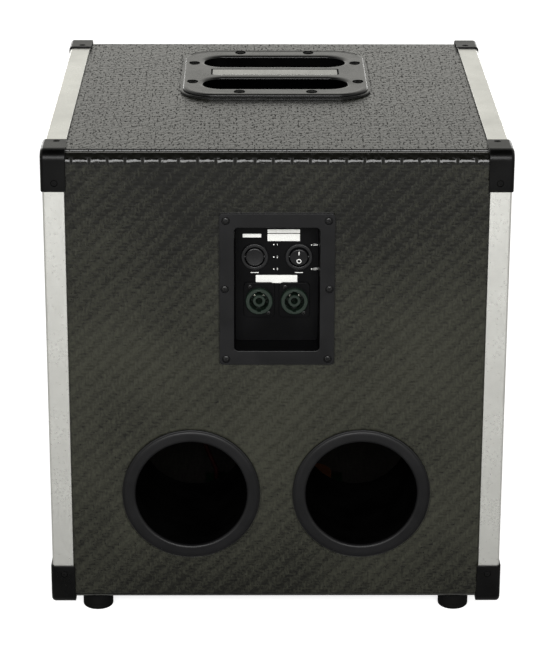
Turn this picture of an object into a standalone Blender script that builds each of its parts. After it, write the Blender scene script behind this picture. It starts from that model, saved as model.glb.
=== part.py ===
"""A compact bass speaker cabinet.

A wooden box under a carbon-look covering, with aluminium edge trims, black corners, a recessed bar
handle, two reflex ports, and a rear dish with two loudspeaker sockets and two round switches. A
woofer and a small treble horn sit behind an expanded-metal grille.

Metres, +Z up. The grille faces -Y and the rear dish faces +Y. The origin is on the floor, under the
middle of the cabinet. Left and right are as seen from the front, so left is -X.
"""

import math

import bmesh
import bpy
from mathutils import Euler, Matrix, Vector

# Cabinet, over its covering
CAB_WIDTH = 0.387
CAB_DEPTH = 0.400
CAB_HEIGHT = 0.406
EDGE_RADIUS = 0.010
BOARD = 0.015
SKIN = 0.001
GAP = 0.0003
CUT_CLEARANCE = 0.0015
EDGE_BREAK = 0.0012

# Rubber feet
FOOT_HEIGHT = 0.017
FOOT_RADIUS = 0.01325
FOOT_ROUND = 0.0025
FOOT_SCREW_RADIUS = 0.0055
FOOT_SCREW_DEPTH = 0.009
FOOT_FROM_SIDE = 0.036
FOOT_FROM_END = 0.027
FOOT_STEPS = 12

# Aluminium edge trims
TRIM_LEG = 0.0182
TRIM_THICKNESS = 0.0012
TRIM_ROUND = 0.002

# Black corners
CORNER_THICKNESS = 0.0012
CORNER_WIDTH = 0.021
CORNER_LEG = 0.036
CORNER_ROUND = 0.003
CORNER_CHAMFER = 0.010

# Handle
HANDLE_WIDTH = 0.1665
HANDLE_LENGTH = 0.1695
HANDLE_CORNER = 0.030
HANDLE_PLATE = 0.0022
HANDLE_EDGE = 0.0013
HANDLE_FROM_FRONT = 0.1385
HANDLE_SLOT_LENGTH = 0.131
HANDLE_SLOT_WIDTH = 0.042
HANDLE_SLOT_CORNER = 0.019
HANDLE_BAR = 0.0405
HANDLE_LABEL_LENGTH = 0.116
HANDLE_LABEL_WIDTH = 0.021
HANDLE_LABEL_DEPTH = 0.0006
HANDLE_LABEL_CORNER = 0.0012
TRAY_SHEET = 0.002
TRAY_LIP = 0.0025
TRAY_DEPTH = 0.036
TRAY_MARGIN = 0.003
TRAY_CORNER = 0.022
TRAY_DRAFT = 0.006

# Reflex ports
PORT_RADIUS = 0.0480
PORT_WALL = 0.0032
PORT_LENGTH = 0.140
PORT_FLANGE_WIDTH = 0.0083
PORT_FLANGE = 0.0025
PORT_FLANGE_ROUND = 0.0022
PORT_MOUTH_ROUND = 0.0035
PORT_SPACING = 0.147
PORT_FROM_BOTTOM = 0.101
PORT_STEPS = 28

# Rear dish
DISH_CORNER = 0.003
DISH_CORNER_STEPS = 3
DISH_MOUTH_WIDTH = 0.072
DISH_MOUTH_HEIGHT = 0.109
DISH_BORDER = 0.0125
DISH_MOUTH_CORNER = 0.0035
DISH_SHEET = 0.0025
DISH_DEPTH = 0.022
DISH_DRAFT = 0.0008
DISH_FROM_TOP = 0.1185

# Loudspeaker sockets, four-pole pattern
SOCKET_APART = 0.004
SOCKET_BELOW_DISH_CENTRE = 0.0165
SOCKET_FLANGE_SIDE = 0.0015
SOCKET_FLANGE_END = 0.004
SOCKET_FLANGE = 0.0022
SOCKET_FLANGE_CORNER = 0.0035
SOCKET_RING_RADIUS = 0.0115
SOCKET_RING_BORE = 0.0081
SOCKET_RING_HEIGHT = 0.0068
SOCKET_CORE_RADIUS = 0.0053
SOCKET_CORE_BORE = 0.0028
SOCKET_CORE_HEIGHT = 0.0050
SOCKET_WELL_DEPTH = 0.011
SOCKET_LENGTH = 0.024
SOCKET_EDGE = 0.0006
SOCKET_STEPS = 16

# Round rocker switches
SWITCH_APART = 0.0143
SWITCH_ABOVE_DISH_CENTRE = 0.0218
SWITCH_BEZEL_RADIUS = 0.0116
SWITCH_BEZEL_HEIGHT = 0.0024
SWITCH_BEZEL_EDGE = 0.0009
SWITCH_BARREL_RADIUS = 0.0099
SWITCH_BARREL_LENGTH = 0.020
SWITCH_WELL_RADIUS = 0.0086
SWITCH_WELL_DEPTH = 0.0085
ROCKER_RADIUS = 0.0077
ROCKER_THICKNESS = 0.0050
ROCKER_EDGE = 0.0006
ROCKER_PIN_RADIUS = 0.0011
ROCKER_PIN_ENTRY = 0.0007
ROCKER_ABOVE_BEZEL = 0.0004
POWER_TILT = math.radians(8)
SWITCH_STEPS = 16
PIN_STEPS = 12

# Baffle, battens and grille
BAFFLE_RECESS = 0.0220
GRILLE_RECESS = 0.0020
GRILLE_SHEET = 0.0015
GRILLE_RIM = 0.008
GRILLE_BORDER = 0.012
GRILLE_CORNER = 0.006
GRILLE_MARGIN = 0.0020
GRILLE_PITCH_ACROSS = 0.0460
GRILLE_PITCH_UP = 0.0310
GRILLE_STRAND = 0.0030
BATTEN_WIDTH = 0.012
BATTEN_MARGIN = 0.0020
BATTEN_END_MARGIN = 0.020

# Woofer, measured from the baffle's front face; depths grow towards the rear
WOOFER_RADIUS = 0.1525
WOOFER_FROM_FLOOR = 0.158
WOOFER_FLANGE = 0.0057
WOOFER_FLANGE_WIDTH = 0.0085
WOOFER_LEDGE_STEP = 0.003
WOOFER_LEDGE = 0.007
WOOFER_DEPTH = 0.080
WOOFER_REAR_RADIUS = 0.066
WOOFER_REAR_PLATE = 0.007
WOOFER_REAR_BORE = 0.036
WOOFER_WINDOWS = 6
WOOFER_WINDOW_INNER = 0.078
WOOFER_WINDOW_BORDER = 0.017
WOOFER_SPOKE = 0.020
CONE_RIM = 0.006
CONE_NECK_DEPTH = 0.058
PAPER = 0.0012
ROLL_RADIUS = 0.0080
ROLL_STEPS = 4
SPIDER_DEPTH = 0.062
SPIDER_OUTER = 0.069
SPIDER_LEDGE = 0.062
SPIDER_WAVE = 0.0025
COIL_RADIUS = 0.0254
COIL_WALL = 0.0008
COIL_END_DEPTH = 0.098
COIL_RUNNING_GAP = 0.0010
DUST_CAP_RADIUS = 0.040
DUST_CAP_RISE = 0.012
FRONT_PLATE = 0.006
FRONT_PLATE_RADIUS = 0.062
MAGNET_RADIUS = 0.074
MAGNET_BORE = 0.034
MAGNET_HEIGHT = 0.020
POLE_PLATE = 0.006
POLE_VENT_RADIUS = 0.008
WOOFER_STEPS = 24
MOTOR_STEPS = 18

# Treble horn and its driver
HORN_RADIUS = 0.045
HORN_MOUTH = 0.0375
HORN_FLANGE = 0.0040
HORN_THROAT = 0.0125
HORN_DEPTH = 0.036
HORN_WALL = 0.0025
HORN_FLARE = 1.3
HORN_MARGIN = 0.003
DRIVER_RADIUS = 0.027
DRIVER_LENGTH = 0.040
DRIVER_CAP_RADIUS = 0.020
DRIVER_CAP = 0.005

# Cross brace
BRACE_THICKNESS = 0.018
BRACE_HEIGHT = 0.040
BRACE_FROM_CENTRE = 0.020
BRACE_FROM_TOP = 0.103

# Dividing network
BOARD_LENGTH = 0.130
BOARD_WIDTH = 0.080
BOARD_SHEET = 0.0016
BOARD_STANDOFF = 0.006
BOARD_STANDOFF_RADIUS = 0.004
BOARD_STANDOFF_STEPS = 8
BOARD_STANDOFF_INSET = 0.007
BOARD_FROM_CENTRE = 0.010
INDUCTOR_RADIUS = 0.021
INDUCTOR_BORE = 0.010
INDUCTOR_HEIGHT = 0.018
CAPACITOR_RADIUS = 0.008
CAPACITOR_LENGTH = 0.034
CAPACITOR_STEPS = 16

# Internal leads
LEAD_RADIUS = 0.0022
LEAD_RINGS = 8
LEAD_STRAIGHT = 0.012
LEAD_INSET = 0.010
INPUT_LEAD_BEND = 0.030
INPUT_LEAD_DROP = 0.110
WOOFER_LEAD_BEND = 0.012
WOOFER_LEAD_DROP = 0.060
TWEETER_LEAD_BEND = 0.040

# Edges steeper than this stay sharp in a render
SHARP_ANGLE = math.radians(30)

# Turns that lay a piece's own +Z along a world axis
UPRIGHT = (0, 0, 0)
TO_REAR = (-math.pi / 2, 0, 0)
TO_RIGHT = (0, math.pi / 2, 0)

# Places worked out from the sizes above
CAB_BOTTOM = FOOT_HEIGHT
CAB_TOP = CAB_BOTTOM + CAB_HEIGHT
CAB_MIDDLE = CAB_BOTTOM + CAB_HEIGHT / 2
REAR_FACE = CAB_DEPTH / 2
FRONT_FACE = -CAB_DEPTH / 2
BOARD_OUTSIDE = SKIN + GAP
INNER_FLOOR = CAB_BOTTOM + BOARD_OUTSIDE + BOARD
INNER_CEILING = CAB_TOP - BOARD_OUTSIDE - BOARD
INNER_SIDE = CAB_WIDTH / 2 - BOARD
INNER_REAR = REAR_FACE - BOARD_OUTSIDE - BOARD
BAFFLE_FRONT = FRONT_FACE + BAFFLE_RECESS
GRILLE_FRONT = FRONT_FACE + GRILLE_RECESS
TRIM_OUTSIDE = GAP + TRIM_THICKNESS
CORNER_INSIDE = TRIM_OUTSIDE + GAP
CORNER_OUTSIDE = CORNER_INSIDE + CORNER_THICKNESS
SOCKET_FLANGE_WIDTH = 2 * (SOCKET_RING_RADIUS + SOCKET_FLANGE_SIDE)
SOCKET_FLANGE_HEIGHT = 2 * (SOCKET_RING_RADIUS + SOCKET_FLANGE_END)
SOCKET_SPACING = SOCKET_FLANGE_WIDTH + SOCKET_APART
SWITCH_SPACING = 2 * SWITCH_BEZEL_RADIUS + SWITCH_APART
PORT_HEIGHT = CAB_BOTTOM + PORT_FROM_BOTTOM
PORT_FLANGE_RADIUS = PORT_RADIUS + PORT_WALL + PORT_FLANGE_WIDTH
DISH_MIDDLE = CAB_TOP - DISH_FROM_TOP
DISH_WALL = REAR_FACE - DISH_DEPTH
DISH_WIDTH = DISH_MOUTH_WIDTH + 2 * DISH_BORDER
DISH_HEIGHT = DISH_MOUTH_HEIGHT + 2 * DISH_BORDER
HANDLE_MIDDLE = FRONT_FACE + HANDLE_FROM_FRONT
HANDLE_PLATE_BOTTOM = CAB_TOP + GAP + TRAY_SHEET + GAP
WOOFER_MIDDLE = INNER_FLOOR + WOOFER_FROM_FLOOR
WOOFER_WALL_RADIUS = WOOFER_RADIUS - WOOFER_FLANGE_WIDTH
WOOFER_LEDGE_RADIUS = WOOFER_WALL_RADIUS - WOOFER_LEDGE_STEP
WOOFER_LEDGE_BORE = WOOFER_LEDGE_RADIUS - WOOFER_LEDGE
CONE_RADIUS = WOOFER_LEDGE_BORE - 2 * ROLL_RADIUS
BATTEN_OUTSIDE = INNER_SIDE - GRILLE_MARGIN - GRILLE_SHEET - BATTEN_MARGIN
TWEETER_ACROSS = BATTEN_OUTSIDE - BATTEN_WIDTH - HORN_MARGIN - HORN_RADIUS
TWEETER_HEIGHT = INNER_CEILING - HORN_MARGIN - HORN_RADIUS

SIDES = (("left", -1), ("right", 1))
ENDS = (("front", -1), ("rear", 1))
LEVELS = (("bottom", -1), ("top", 1))

PARTS = None
CUTTERS = None
FINISHES = {}


def clear_scene():
    for obj in list(bpy.data.objects):
        bpy.data.objects.remove(obj, do_unlink=True)


def new_collection(name):
    collection = bpy.data.collections.new(name)
    bpy.context.scene.collection.children.link(collection)
    return collection


def finish(name, colour, roughness, metallic=0.0):
    material = bpy.data.materials.new(name)
    material.use_nodes = True
    shader = material.node_tree.nodes["Principled BSDF"]
    shader.inputs["Base Color"].default_value = (*colour, 1.0)
    shader.inputs["Roughness"].default_value = roughness
    shader.inputs["Metallic"].default_value = metallic
    material.diffuse_color = (*colour, 1.0)
    FINISHES[name] = material


def make_finishes():
    finish("covering", (0.045, 0.045, 0.038), 0.35)
    finish("covered_board", (0.045, 0.045, 0.038), 0.35)
    finish("plywood", (0.030, 0.027, 0.024), 0.7)
    finish("aluminium", (0.60, 0.60, 0.57), 0.38, 1.0)
    finish("corner_black", (0.012, 0.012, 0.012), 0.4)
    finish("handle_black", (0.010, 0.010, 0.010), 0.3)
    finish("moulded_black", (0.020, 0.020, 0.022), 0.5)
    finish("socket_green", (0.030, 0.042, 0.036), 0.4)
    finish("rocker_black", (0.015, 0.015, 0.016), 0.35)
    finish("rubber", (0.010, 0.010, 0.010), 0.8)
    finish("grille_steel", (0.014, 0.014, 0.014), 0.45, 0.3)
    finish("basket_steel", (0.030, 0.030, 0.032), 0.5, 0.4)
    finish("cone_paper", (0.030, 0.029, 0.027), 0.85)
    finish("spider_cloth", (0.45, 0.30, 0.10), 0.9)
    finish("ferrite", (0.035, 0.035, 0.037), 0.75)
    finish("plated_steel", (0.55, 0.55, 0.53), 0.35, 1.0)
    finish("circuit_board", (0.02, 0.12, 0.05), 0.5)
    finish("copper", (0.60, 0.25, 0.12), 0.35, 1.0)
    finish("film_yellow", (0.60, 0.42, 0.05), 0.45)
    finish("lead_red", (0.35, 0.02, 0.02), 0.5)


def new_object(name, data, finish_name, location=(0, 0, 0), turn=UPRIGHT):
    obj = bpy.data.objects.new(name, data)
    PARTS.objects.link(obj)
    obj.location = location
    obj.rotation_euler = turn
    if finish_name:
        data.materials.append(FINISHES[finish_name])
    return obj


def as_cutter(obj):
    """Moves a shape to the cutters, where it shapes other pieces and isn't a piece itself."""
    PARTS.objects.unlink(obj)
    CUTTERS.objects.link(obj)
    obj.hide_render = True
    obj.display_type = "WIRE"
    return obj


def combine(obj, other, operation):
    modifier = obj.modifiers.new(f"{operation.title()} {other.name}", "BOOLEAN")
    modifier.operation = operation
    modifier.solver = "EXACT"
    modifier.object = other


def cut(obj, cutter):
    combine(obj, cutter, "DIFFERENCE")


def join(obj, other):
    """Adds other's shape to obj. The other shape becomes a helper."""
    combine(obj, as_cutter(other), "UNION")


def bevel_top(obj, width, segments):
    """Rounds the edges round the obj's uppermost flat face, in its own axes."""
    work = bmesh.new()
    work.from_mesh(obj.data)
    top = max(v.co.z for v in work.verts)
    rim = [
        edge
        for edge in work.edges
        if all(top - v.co.z < GAP / 10 for v in edge.verts)
        and any(abs(face.normal.z) < 0.5 for face in edge.link_faces)
    ]
    bmesh.ops.bevel(work, geom=rim, offset=width, segments=segments, profile=0.5, affect="EDGES")
    work.to_mesh(obj.data)
    work.free()


def evaluated_mesh(obj):
    """The object's mesh as its modifiers leave it, in its own axes."""
    bpy.context.view_layer.update()
    graph = bpy.context.evaluated_depsgraph_get()
    mesh = bpy.data.meshes.new_from_object(obj.evaluated_get(graph))
    work = bmesh.new()
    work.from_mesh(mesh)
    bmesh.ops.remove_doubles(work, verts=work.verts, dist=1e-6)
    bmesh.ops.recalc_face_normals(work, faces=work.faces)
    work.to_mesh(mesh)
    work.free()
    return mesh


def block(name, low, high, finish_name=None):
    """A box between two corners, with its origin in its middle."""
    low, high = Vector(low), Vector(high)
    work = bmesh.new()
    bmesh.ops.create_cube(work, size=1, matrix=Matrix.Diagonal((*(high - low), 1)))
    mesh = bpy.data.meshes.new(name)
    work.to_mesh(mesh)
    work.free()
    return new_object(name, mesh, finish_name, (low + high) / 2)


def rod(name, radius, length, sides, finish_name, location, turn):
    """A cylinder round its own Z, with its origin in its middle."""
    work = bmesh.new()
    bmesh.ops.create_cone(
        work, cap_ends=True, segments=sides, radius1=radius, radius2=radius, depth=length
    )
    mesh = bpy.data.meshes.new(name)
    work.to_mesh(mesh)
    work.free()
    return new_object(name, mesh, finish_name, location, turn)


def turned(name, profile, steps, finish_name, location, turn=TO_REAR):
    """A profile of (radius, height) points turned round its own Z.

    The profile runs down its outer side. One that starts and ends on the axis stays open there,
    and any other is a closed ring.
    """
    count = len(profile)
    edges = [(i, i + 1) for i in range(count - 1)]
    if profile[0][0] > 0 or profile[-1][0] > 0:
        edges.append((count - 1, 0))
    mesh = bpy.data.meshes.new(name)
    mesh.from_pydata([(radius, 0, height) for radius, height in profile], edges, [])
    obj = new_object(name, mesh, finish_name, location, turn)
    screw = obj.modifiers.new("Turn", "SCREW")
    screw.steps = steps
    screw.render_steps = steps
    screw.use_merge_vertices = True
    screw.merge_threshold = 1e-5
    screw.use_smooth_shade = True
    return obj


def arc(centre, radius, start, end, steps):
    """Points on a circle, from one angle in degrees to another."""
    found = []
    for i in range(steps + 1):
        angle = math.radians(start + (end - start) * i / steps)
        found.append((centre[0] + radius * math.cos(angle), centre[1] + radius * math.sin(angle)))
    return found


def rounded_rectangle(width, height, radius, steps=4, centre=(0, 0)):
    points = []
    for quarter, (side, level) in enumerate(((1, 1), (-1, 1), (-1, -1), (1, -1))):
        corner = (
            centre[0] + side * (width / 2 - radius),
            centre[1] + level * (height / 2 - radius),
        )
        points += arc(corner, radius, 90 * quarter, 90 * quarter + 90, steps)
    return points


def circle(radius, steps, centre=(0, 0)):
    return arc(centre, radius, 0, 360 - 360 / steps, steps - 1)


def flat_piece(name, outlines, thickness, finish_name, location, turn=UPRIGHT):
    """Closed outlines in the piece's own XY plane, the inner ones holes, thickened along its own Z."""
    curve = bpy.data.curves.new(name, "CURVE")
    curve.dimensions = "2D"
    curve.fill_mode = "BOTH"
    curve.extrude = thickness / 2
    for outline in outlines:
        spline = curve.splines.new("POLY")
        spline.points.add(len(outline) - 1)
        spline.use_cyclic_u = True
        for point, (x, y) in zip(spline.points, outline):
            point.co = (x, y, 0, 1)
    drawn = bpy.data.objects.new(name + "_outline", curve)
    CUTTERS.objects.link(drawn)
    mesh = evaluated_mesh(drawn)
    bpy.data.objects.remove(drawn)
    mesh.name = name
    return new_object(name, mesh, finish_name, location, turn)


def shell(name, rings, thickness, finish_name, location, turn):
    """A pressed sheet: rings of as many points each, the last one filled, and the sheet's thickness
    behind them. Each ring is (outline, height)."""
    work = bmesh.new()
    loops = [[work.verts.new((x, y, height)) for x, y in outline] for outline, height in rings]
    count = len(loops[0])
    for outer, inner in zip(loops, loops[1:]):
        for i in range(count):
            after = (i + 1) % count
            work.faces.new((outer[i], outer[after], inner[after], inner[i]))
    work.faces.new(loops[-1])
    mesh = bpy.data.meshes.new(name)
    work.to_mesh(mesh)
    work.free()
    obj = new_object(name, mesh, finish_name, location, turn)
    solidify = obj.modifiers.new("Sheet", "SOLIDIFY")
    solidify.thickness = thickness
    solidify.offset = -1
    solidify.use_even_offset = True
    return obj


def strip(line, thickness):
    """The closed outline of a sheet that follows a line of (radius, height) points outwards."""
    upper, lower = [], []
    for i, (radius, height) in enumerate(line):
        before, after = line[max(i - 1, 0)], line[min(i + 1, len(line) - 1)]
        along = Vector((after[0] - before[0], after[1] - before[1])).normalized()
        side = Vector((-along.y, along.x)) * thickness / 2
        if radius == 0:
            side = Vector((0, thickness / 2))
        upper.append((radius + side.x, height + side.y))
        lower.append((radius - side.x, height - side.y))
    return upper + lower[::-1]


def smooth_route(points, count):
    """Evenly numbered points on a smooth curve through the given ones."""
    padded = [points[0]] + points + [points[-1]]
    spans = len(points) - 1
    found = []
    for i in range(count):
        at = i * spans / (count - 1)
        span = min(int(at), spans - 1)
        t = at - span
        a, b, c, d = (Vector(p) for p in padded[span : span + 4])
        found.append(
            b
            + (c - a) * 0.5 * t
            + (a * 2 - b * 5 + c * 4 - d) * 0.5 * t**2
            + (b * 3 - a - c * 3 + d) * 0.5 * t**3
        )
    return found


def lead(name, start, start_way, between, end, end_way):
    """A tube that leaves both of its ends straight, with a smooth curve between."""
    first = Vector(start) + Vector(start_way) * LEAD_STRAIGHT
    last = Vector(end) + Vector(end_way) * LEAD_STRAIGHT
    route = [Vector(start)] + smooth_route([first, *between, last], LEAD_RINGS) + [Vector(end)]
    curve = bpy.data.curves.new(name, "CURVE")
    curve.dimensions = "3D"
    curve.bevel_depth = LEAD_RADIUS
    curve.bevel_resolution = 1
    curve.use_fill_caps = True
    spline = curve.splines.new("POLY")
    spline.points.add(len(route) - 1)
    for point, place in zip(spline.points, route):
        point.co = (*place, 1)
    return new_object(name, curve, "lead_red")


def side_outline(inset):
    """The cabinet's outline seen from the side, drawn in by an inset."""
    return rounded_rectangle(
        CAB_DEPTH - 2 * inset, CAB_HEIGHT - 2 * inset, EDGE_RADIUS - inset
    )


def dish_cutter():
    """The cut-out behind the rear dish, through the covering and the rear panel."""
    clear = DISH_SHEET + CUT_CLEARANCE
    outline = rounded_rectangle(
        DISH_MOUTH_WIDTH + 2 * clear, DISH_MOUTH_HEIGHT + 2 * clear, DISH_MOUTH_CORNER + clear
    )
    depth = 2 * (BOARD_OUTSIDE + BOARD) + BOARD
    return as_cutter(
        flat_piece(
            "dish_cutter", [outline], depth, None, (0, REAR_FACE, DISH_MIDDLE), TO_REAR
        )
    )


def port_cutter(name, side):
    depth = 2 * (BOARD_OUTSIDE + BOARD) + BOARD
    place = (side * PORT_SPACING / 2, REAR_FACE, PORT_HEIGHT)
    radius = (PORT_RADIUS + PORT_WALL + GAP) / math.cos(math.pi / PORT_STEPS)
    return as_cutter(rod("port_cutter_" + name, radius, depth, PORT_STEPS, None, place, TO_REAR))


def tray_mouth(inset):
    """The handle pocket's outline, drawn in by an inset."""
    width = HANDLE_SLOT_LENGTH + 2 * TRAY_MARGIN - 2 * inset
    length = HANDLE_BAR + 2 * HANDLE_SLOT_WIDTH + 2 * TRAY_MARGIN - 2 * inset
    return rounded_rectangle(width, length, TRAY_CORNER - inset)


def tray_cutter():
    """The cut-out under the handle, through the covering and the top panel."""
    depth = 2 * (BOARD_OUTSIDE + BOARD) + BOARD
    outline = tray_mouth(-(TRAY_SHEET + CUT_CLEARANCE))
    return as_cutter(
        flat_piece("tray_cutter", [outline], depth, None, (0, HANDLE_MIDDLE, CAB_TOP), UPRIGHT)
    )


def make_box(cutters):
    """The wooden box and its covering."""
    middle = (0, 0, CAB_MIDDLE)
    # Own X runs along world Y, and own Y along world Z
    facing_side = (math.pi / 2, 0, math.pi / 2)
    wrap = flat_piece(
        "carbon_wrap",
        [side_outline(0), side_outline(SKIN)],
        CAB_WIDTH,
        "covering",
        middle,
        facing_side,
    )
    opening = block(
        "front_opening_cutter",
        (-INNER_SIDE, FRONT_FACE - BOARD, INNER_FLOOR),
        (INNER_SIDE, FRONT_FACE + BOARD, INNER_CEILING),
    )
    cut(wrap, as_cutter(opening))
    for cutter in cutters:
        cut(wrap, cutter)

    for name, side in SIDES:
        flat_piece(
            "side_panel_" + name,
            [side_outline(BOARD_OUTSIDE)],
            BOARD,
            "covered_board",
            (side * (CAB_WIDTH / 2 - BOARD / 2), 0, CAB_MIDDLE),
            facing_side,
        )

    for name, level in LEVELS:
        outer = side_outline(BOARD_OUTSIDE)
        keep = [(y, z) for y, z in outer if z * level > 0]
        inner_face = level * (CAB_HEIGHT / 2 - BOARD_OUTSIDE - BOARD)
        half_depth = CAB_DEPTH / 2 - BOARD_OUTSIDE
        ends = [(-level * half_depth, inner_face), (level * half_depth, inner_face)]
        panel = flat_piece(
            name + "_panel",
            [keep + ends],
            2 * (INNER_SIDE - GAP),
            "plywood",
            middle,
            facing_side,
        )
        if name == "top":
            cut(panel, cutters[-1])

    width = 2 * (INNER_SIDE - GAP)
    height = INNER_CEILING - INNER_FLOOR - 2 * GAP
    rear = block(
        "rear_panel",
        (-width / 2, INNER_REAR, CAB_MIDDLE - height / 2),
        (width / 2, INNER_REAR + BOARD, CAB_MIDDLE + height / 2),
        "plywood",
    )
    for cutter in cutters[:-1]:
        cut(rear, cutter)

    holes = [
        circle(WOOFER_WALL_RADIUS + 2 * GAP, 2 * WOOFER_STEPS, (0, CAB_MIDDLE - WOOFER_MIDDLE)),
        circle(
            HORN_MOUTH + HORN_WALL + 2 * GAP,
            WOOFER_STEPS,
            (TWEETER_ACROSS, CAB_MIDDLE - TWEETER_HEIGHT),
        ),
    ]
    # Turned to the rear, own Y points down
    flat_piece(
        "baffle_panel",
        [rounded_rectangle(width, height, GAP, 1)] + holes,
        BOARD,
        "plywood",
        (0, BAFFLE_FRONT + BOARD / 2, CAB_MIDDLE),
        TO_REAR,
    )

    brace_top = CAB_TOP - BRACE_FROM_TOP
    block(
        "cross_brace",
        (-width / 2, BRACE_FROM_CENTRE, brace_top - BRACE_HEIGHT),
        (width / 2, BRACE_FROM_CENTRE + BRACE_THICKNESS, brace_top),
        "plywood",
    )


def make_trims():
    """L-shaped profiles along the four upright edges and the four edges from front to rear."""
    inside = TRIM_LEG - TRIM_THICKNESS
    outline = arc((-TRIM_ROUND, -TRIM_ROUND), TRIM_ROUND, 0, 90, 3)
    outline += [
        (-TRIM_LEG, 0),
        (-TRIM_LEG, -TRIM_THICKNESS),
        (-TRIM_LEG + inside, -TRIM_THICKNESS),
        (-TRIM_THICKNESS, -TRIM_LEG),
        (0, -TRIM_LEG),
    ]
    half_width = CAB_WIDTH / 2 + TRIM_OUTSIDE
    half_depth = CAB_DEPTH / 2 + TRIM_OUTSIDE
    half_height = CAB_HEIGHT / 2 + TRIM_OUTSIDE
    upright = 2 * (half_height - TRIM_LEG - GAP)
    level_run = CAB_DEPTH - 2 * EDGE_RADIUS - 2 * TRIM_THICKNESS
    quarter_turns = {(1, 1): 0, (-1, 1): 1, (-1, -1): 2, (1, -1): 3}
    for side_name, side in SIDES:
        for end_name, end in ENDS:
            flat_piece(
                f"trim_{end_name}_{side_name}",
                [outline],
                upright,
                "aluminium",
                (side * half_width, end * half_depth, CAB_MIDDLE),
                (0, 0, math.pi / 2 * quarter_turns[side, end]),
            )
        for level_name, level in LEVELS:
            turn = Euler((math.pi / 2, 0, 0)).to_matrix()
            turn = turn @ Matrix.Rotation(math.pi / 2 * quarter_turns[side, level], 3, "Z")
            flat_piece(
                f"trim_{level_name}_{side_name}",
                [outline],
                level_run,
                "aluminium",
                (side * half_width, 0, CAB_MIDDLE + level * half_height),
                turn.to_euler(),
            )


def corner_block(name, low, reach, edge_radius, round_radius):
    """A block up to the cabinet's outer corner, its edge along X rounded as the cabinet's is."""
    high = (
        CAB_WIDTH / 2 + reach,
        CAB_DEPTH / 2 + reach,
        CAB_HEIGHT / 2 + reach,
    )
    obj = block(name, low, high)
    far = (Vector(high) - Vector(low)) / 2
    work = bmesh.new()
    work.from_mesh(obj.data)
    along_x = [
        edge
        for edge in work.edges
        if all(abs(v.co.y - far.y) < GAP and abs(v.co.z - far.z) < GAP for v in edge.verts)
    ]
    bmesh.ops.bevel(
        work, geom=along_x, offset=edge_radius, segments=4, profile=0.5, affect="EDGES"
    )
    end_face = [
        edge
        for edge in work.edges
        if all(abs(v.co.x - far.x) < GAP for v in edge.verts)
        and any(v.co.y > 0 for v in edge.verts)
        and any(v.co.z > 0 for v in edge.verts)
        and not all(v.co.y < -far.y + GAP for v in edge.verts)
        and not all(v.co.z < -far.z + GAP for v in edge.verts)
    ]
    bmesh.ops.bevel(
        work, geom=end_face, offset=round_radius, segments=2, profile=0.5, affect="EDGES"
    )
    work.to_mesh(obj.data)
    work.free()
    return obj


def make_corners():
    """One corner is shaped in the octant +X +Y +Z, and the other seven mirror it."""
    low = (
        CAB_WIDTH / 2 + CORNER_OUTSIDE - CORNER_WIDTH,
        CAB_DEPTH / 2 + CORNER_OUTSIDE - CORNER_LEG,
        CAB_HEIGHT / 2 + CORNER_OUTSIDE - CORNER_LEG,
    )
    deep = [value - CORNER_LEG for value in low]
    pattern = corner_block(
        "corner_pattern", low, CORNER_OUTSIDE, EDGE_RADIUS + CORNER_OUTSIDE, CORNER_ROUND
    )
    inner = corner_block(
        "corner_inner_cutter", deep, CORNER_INSIDE, EDGE_RADIUS + CORNER_INSIDE, TRIM_ROUND / 2
    )
    cut(pattern, as_cutter(inner))
    chamfer = rod(
        "corner_chamfer_cutter",
        CORNER_CHAMFER,
        2 * CORNER_WIDTH,
        4,
        None,
        (low[0] + CORNER_WIDTH, low[1], low[2]),
        TO_RIGHT,
    )
    cut(pattern, as_cutter(chamfer))
    mesh = evaluated_mesh(pattern)
    mesh.name = "corner"
    mesh.transform(pattern.matrix_world)
    bpy.data.objects.remove(pattern)
    mesh.materials.clear()
    mesh.materials.append(FINISHES["corner_black"])
    for side_name, side in SIDES:
        for end_name, end in ENDS:
            for level_name, level in LEVELS:
                corner = new_object(f"corner_{end_name}_{side_name}_{level_name}", mesh, None)
                corner.location = (0, 0, CAB_MIDDLE)
                corner.scale = (side, end, level)


def make_feet():
    top = FOOT_HEIGHT - GAP
    profile = [(0, top), (FOOT_RADIUS, top)]
    profile += arc((FOOT_RADIUS - FOOT_ROUND, FOOT_ROUND), FOOT_ROUND, 0, -90, 2)
    profile += [(FOOT_SCREW_RADIUS, 0), (FOOT_SCREW_RADIUS, FOOT_SCREW_DEPTH)]
    profile += [(0, FOOT_SCREW_DEPTH)]
    across = CAB_WIDTH / 2 - FOOT_FROM_SIDE
    along = CAB_DEPTH / 2 - FOOT_FROM_END
    for side_name, side in SIDES:
        for end_name, end in ENDS:
            place = (side * across, end * along, 0)
            turned(f"foot_{end_name}_{side_name}", profile, FOOT_STEPS, "rubber", place, UPRIGHT)


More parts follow.
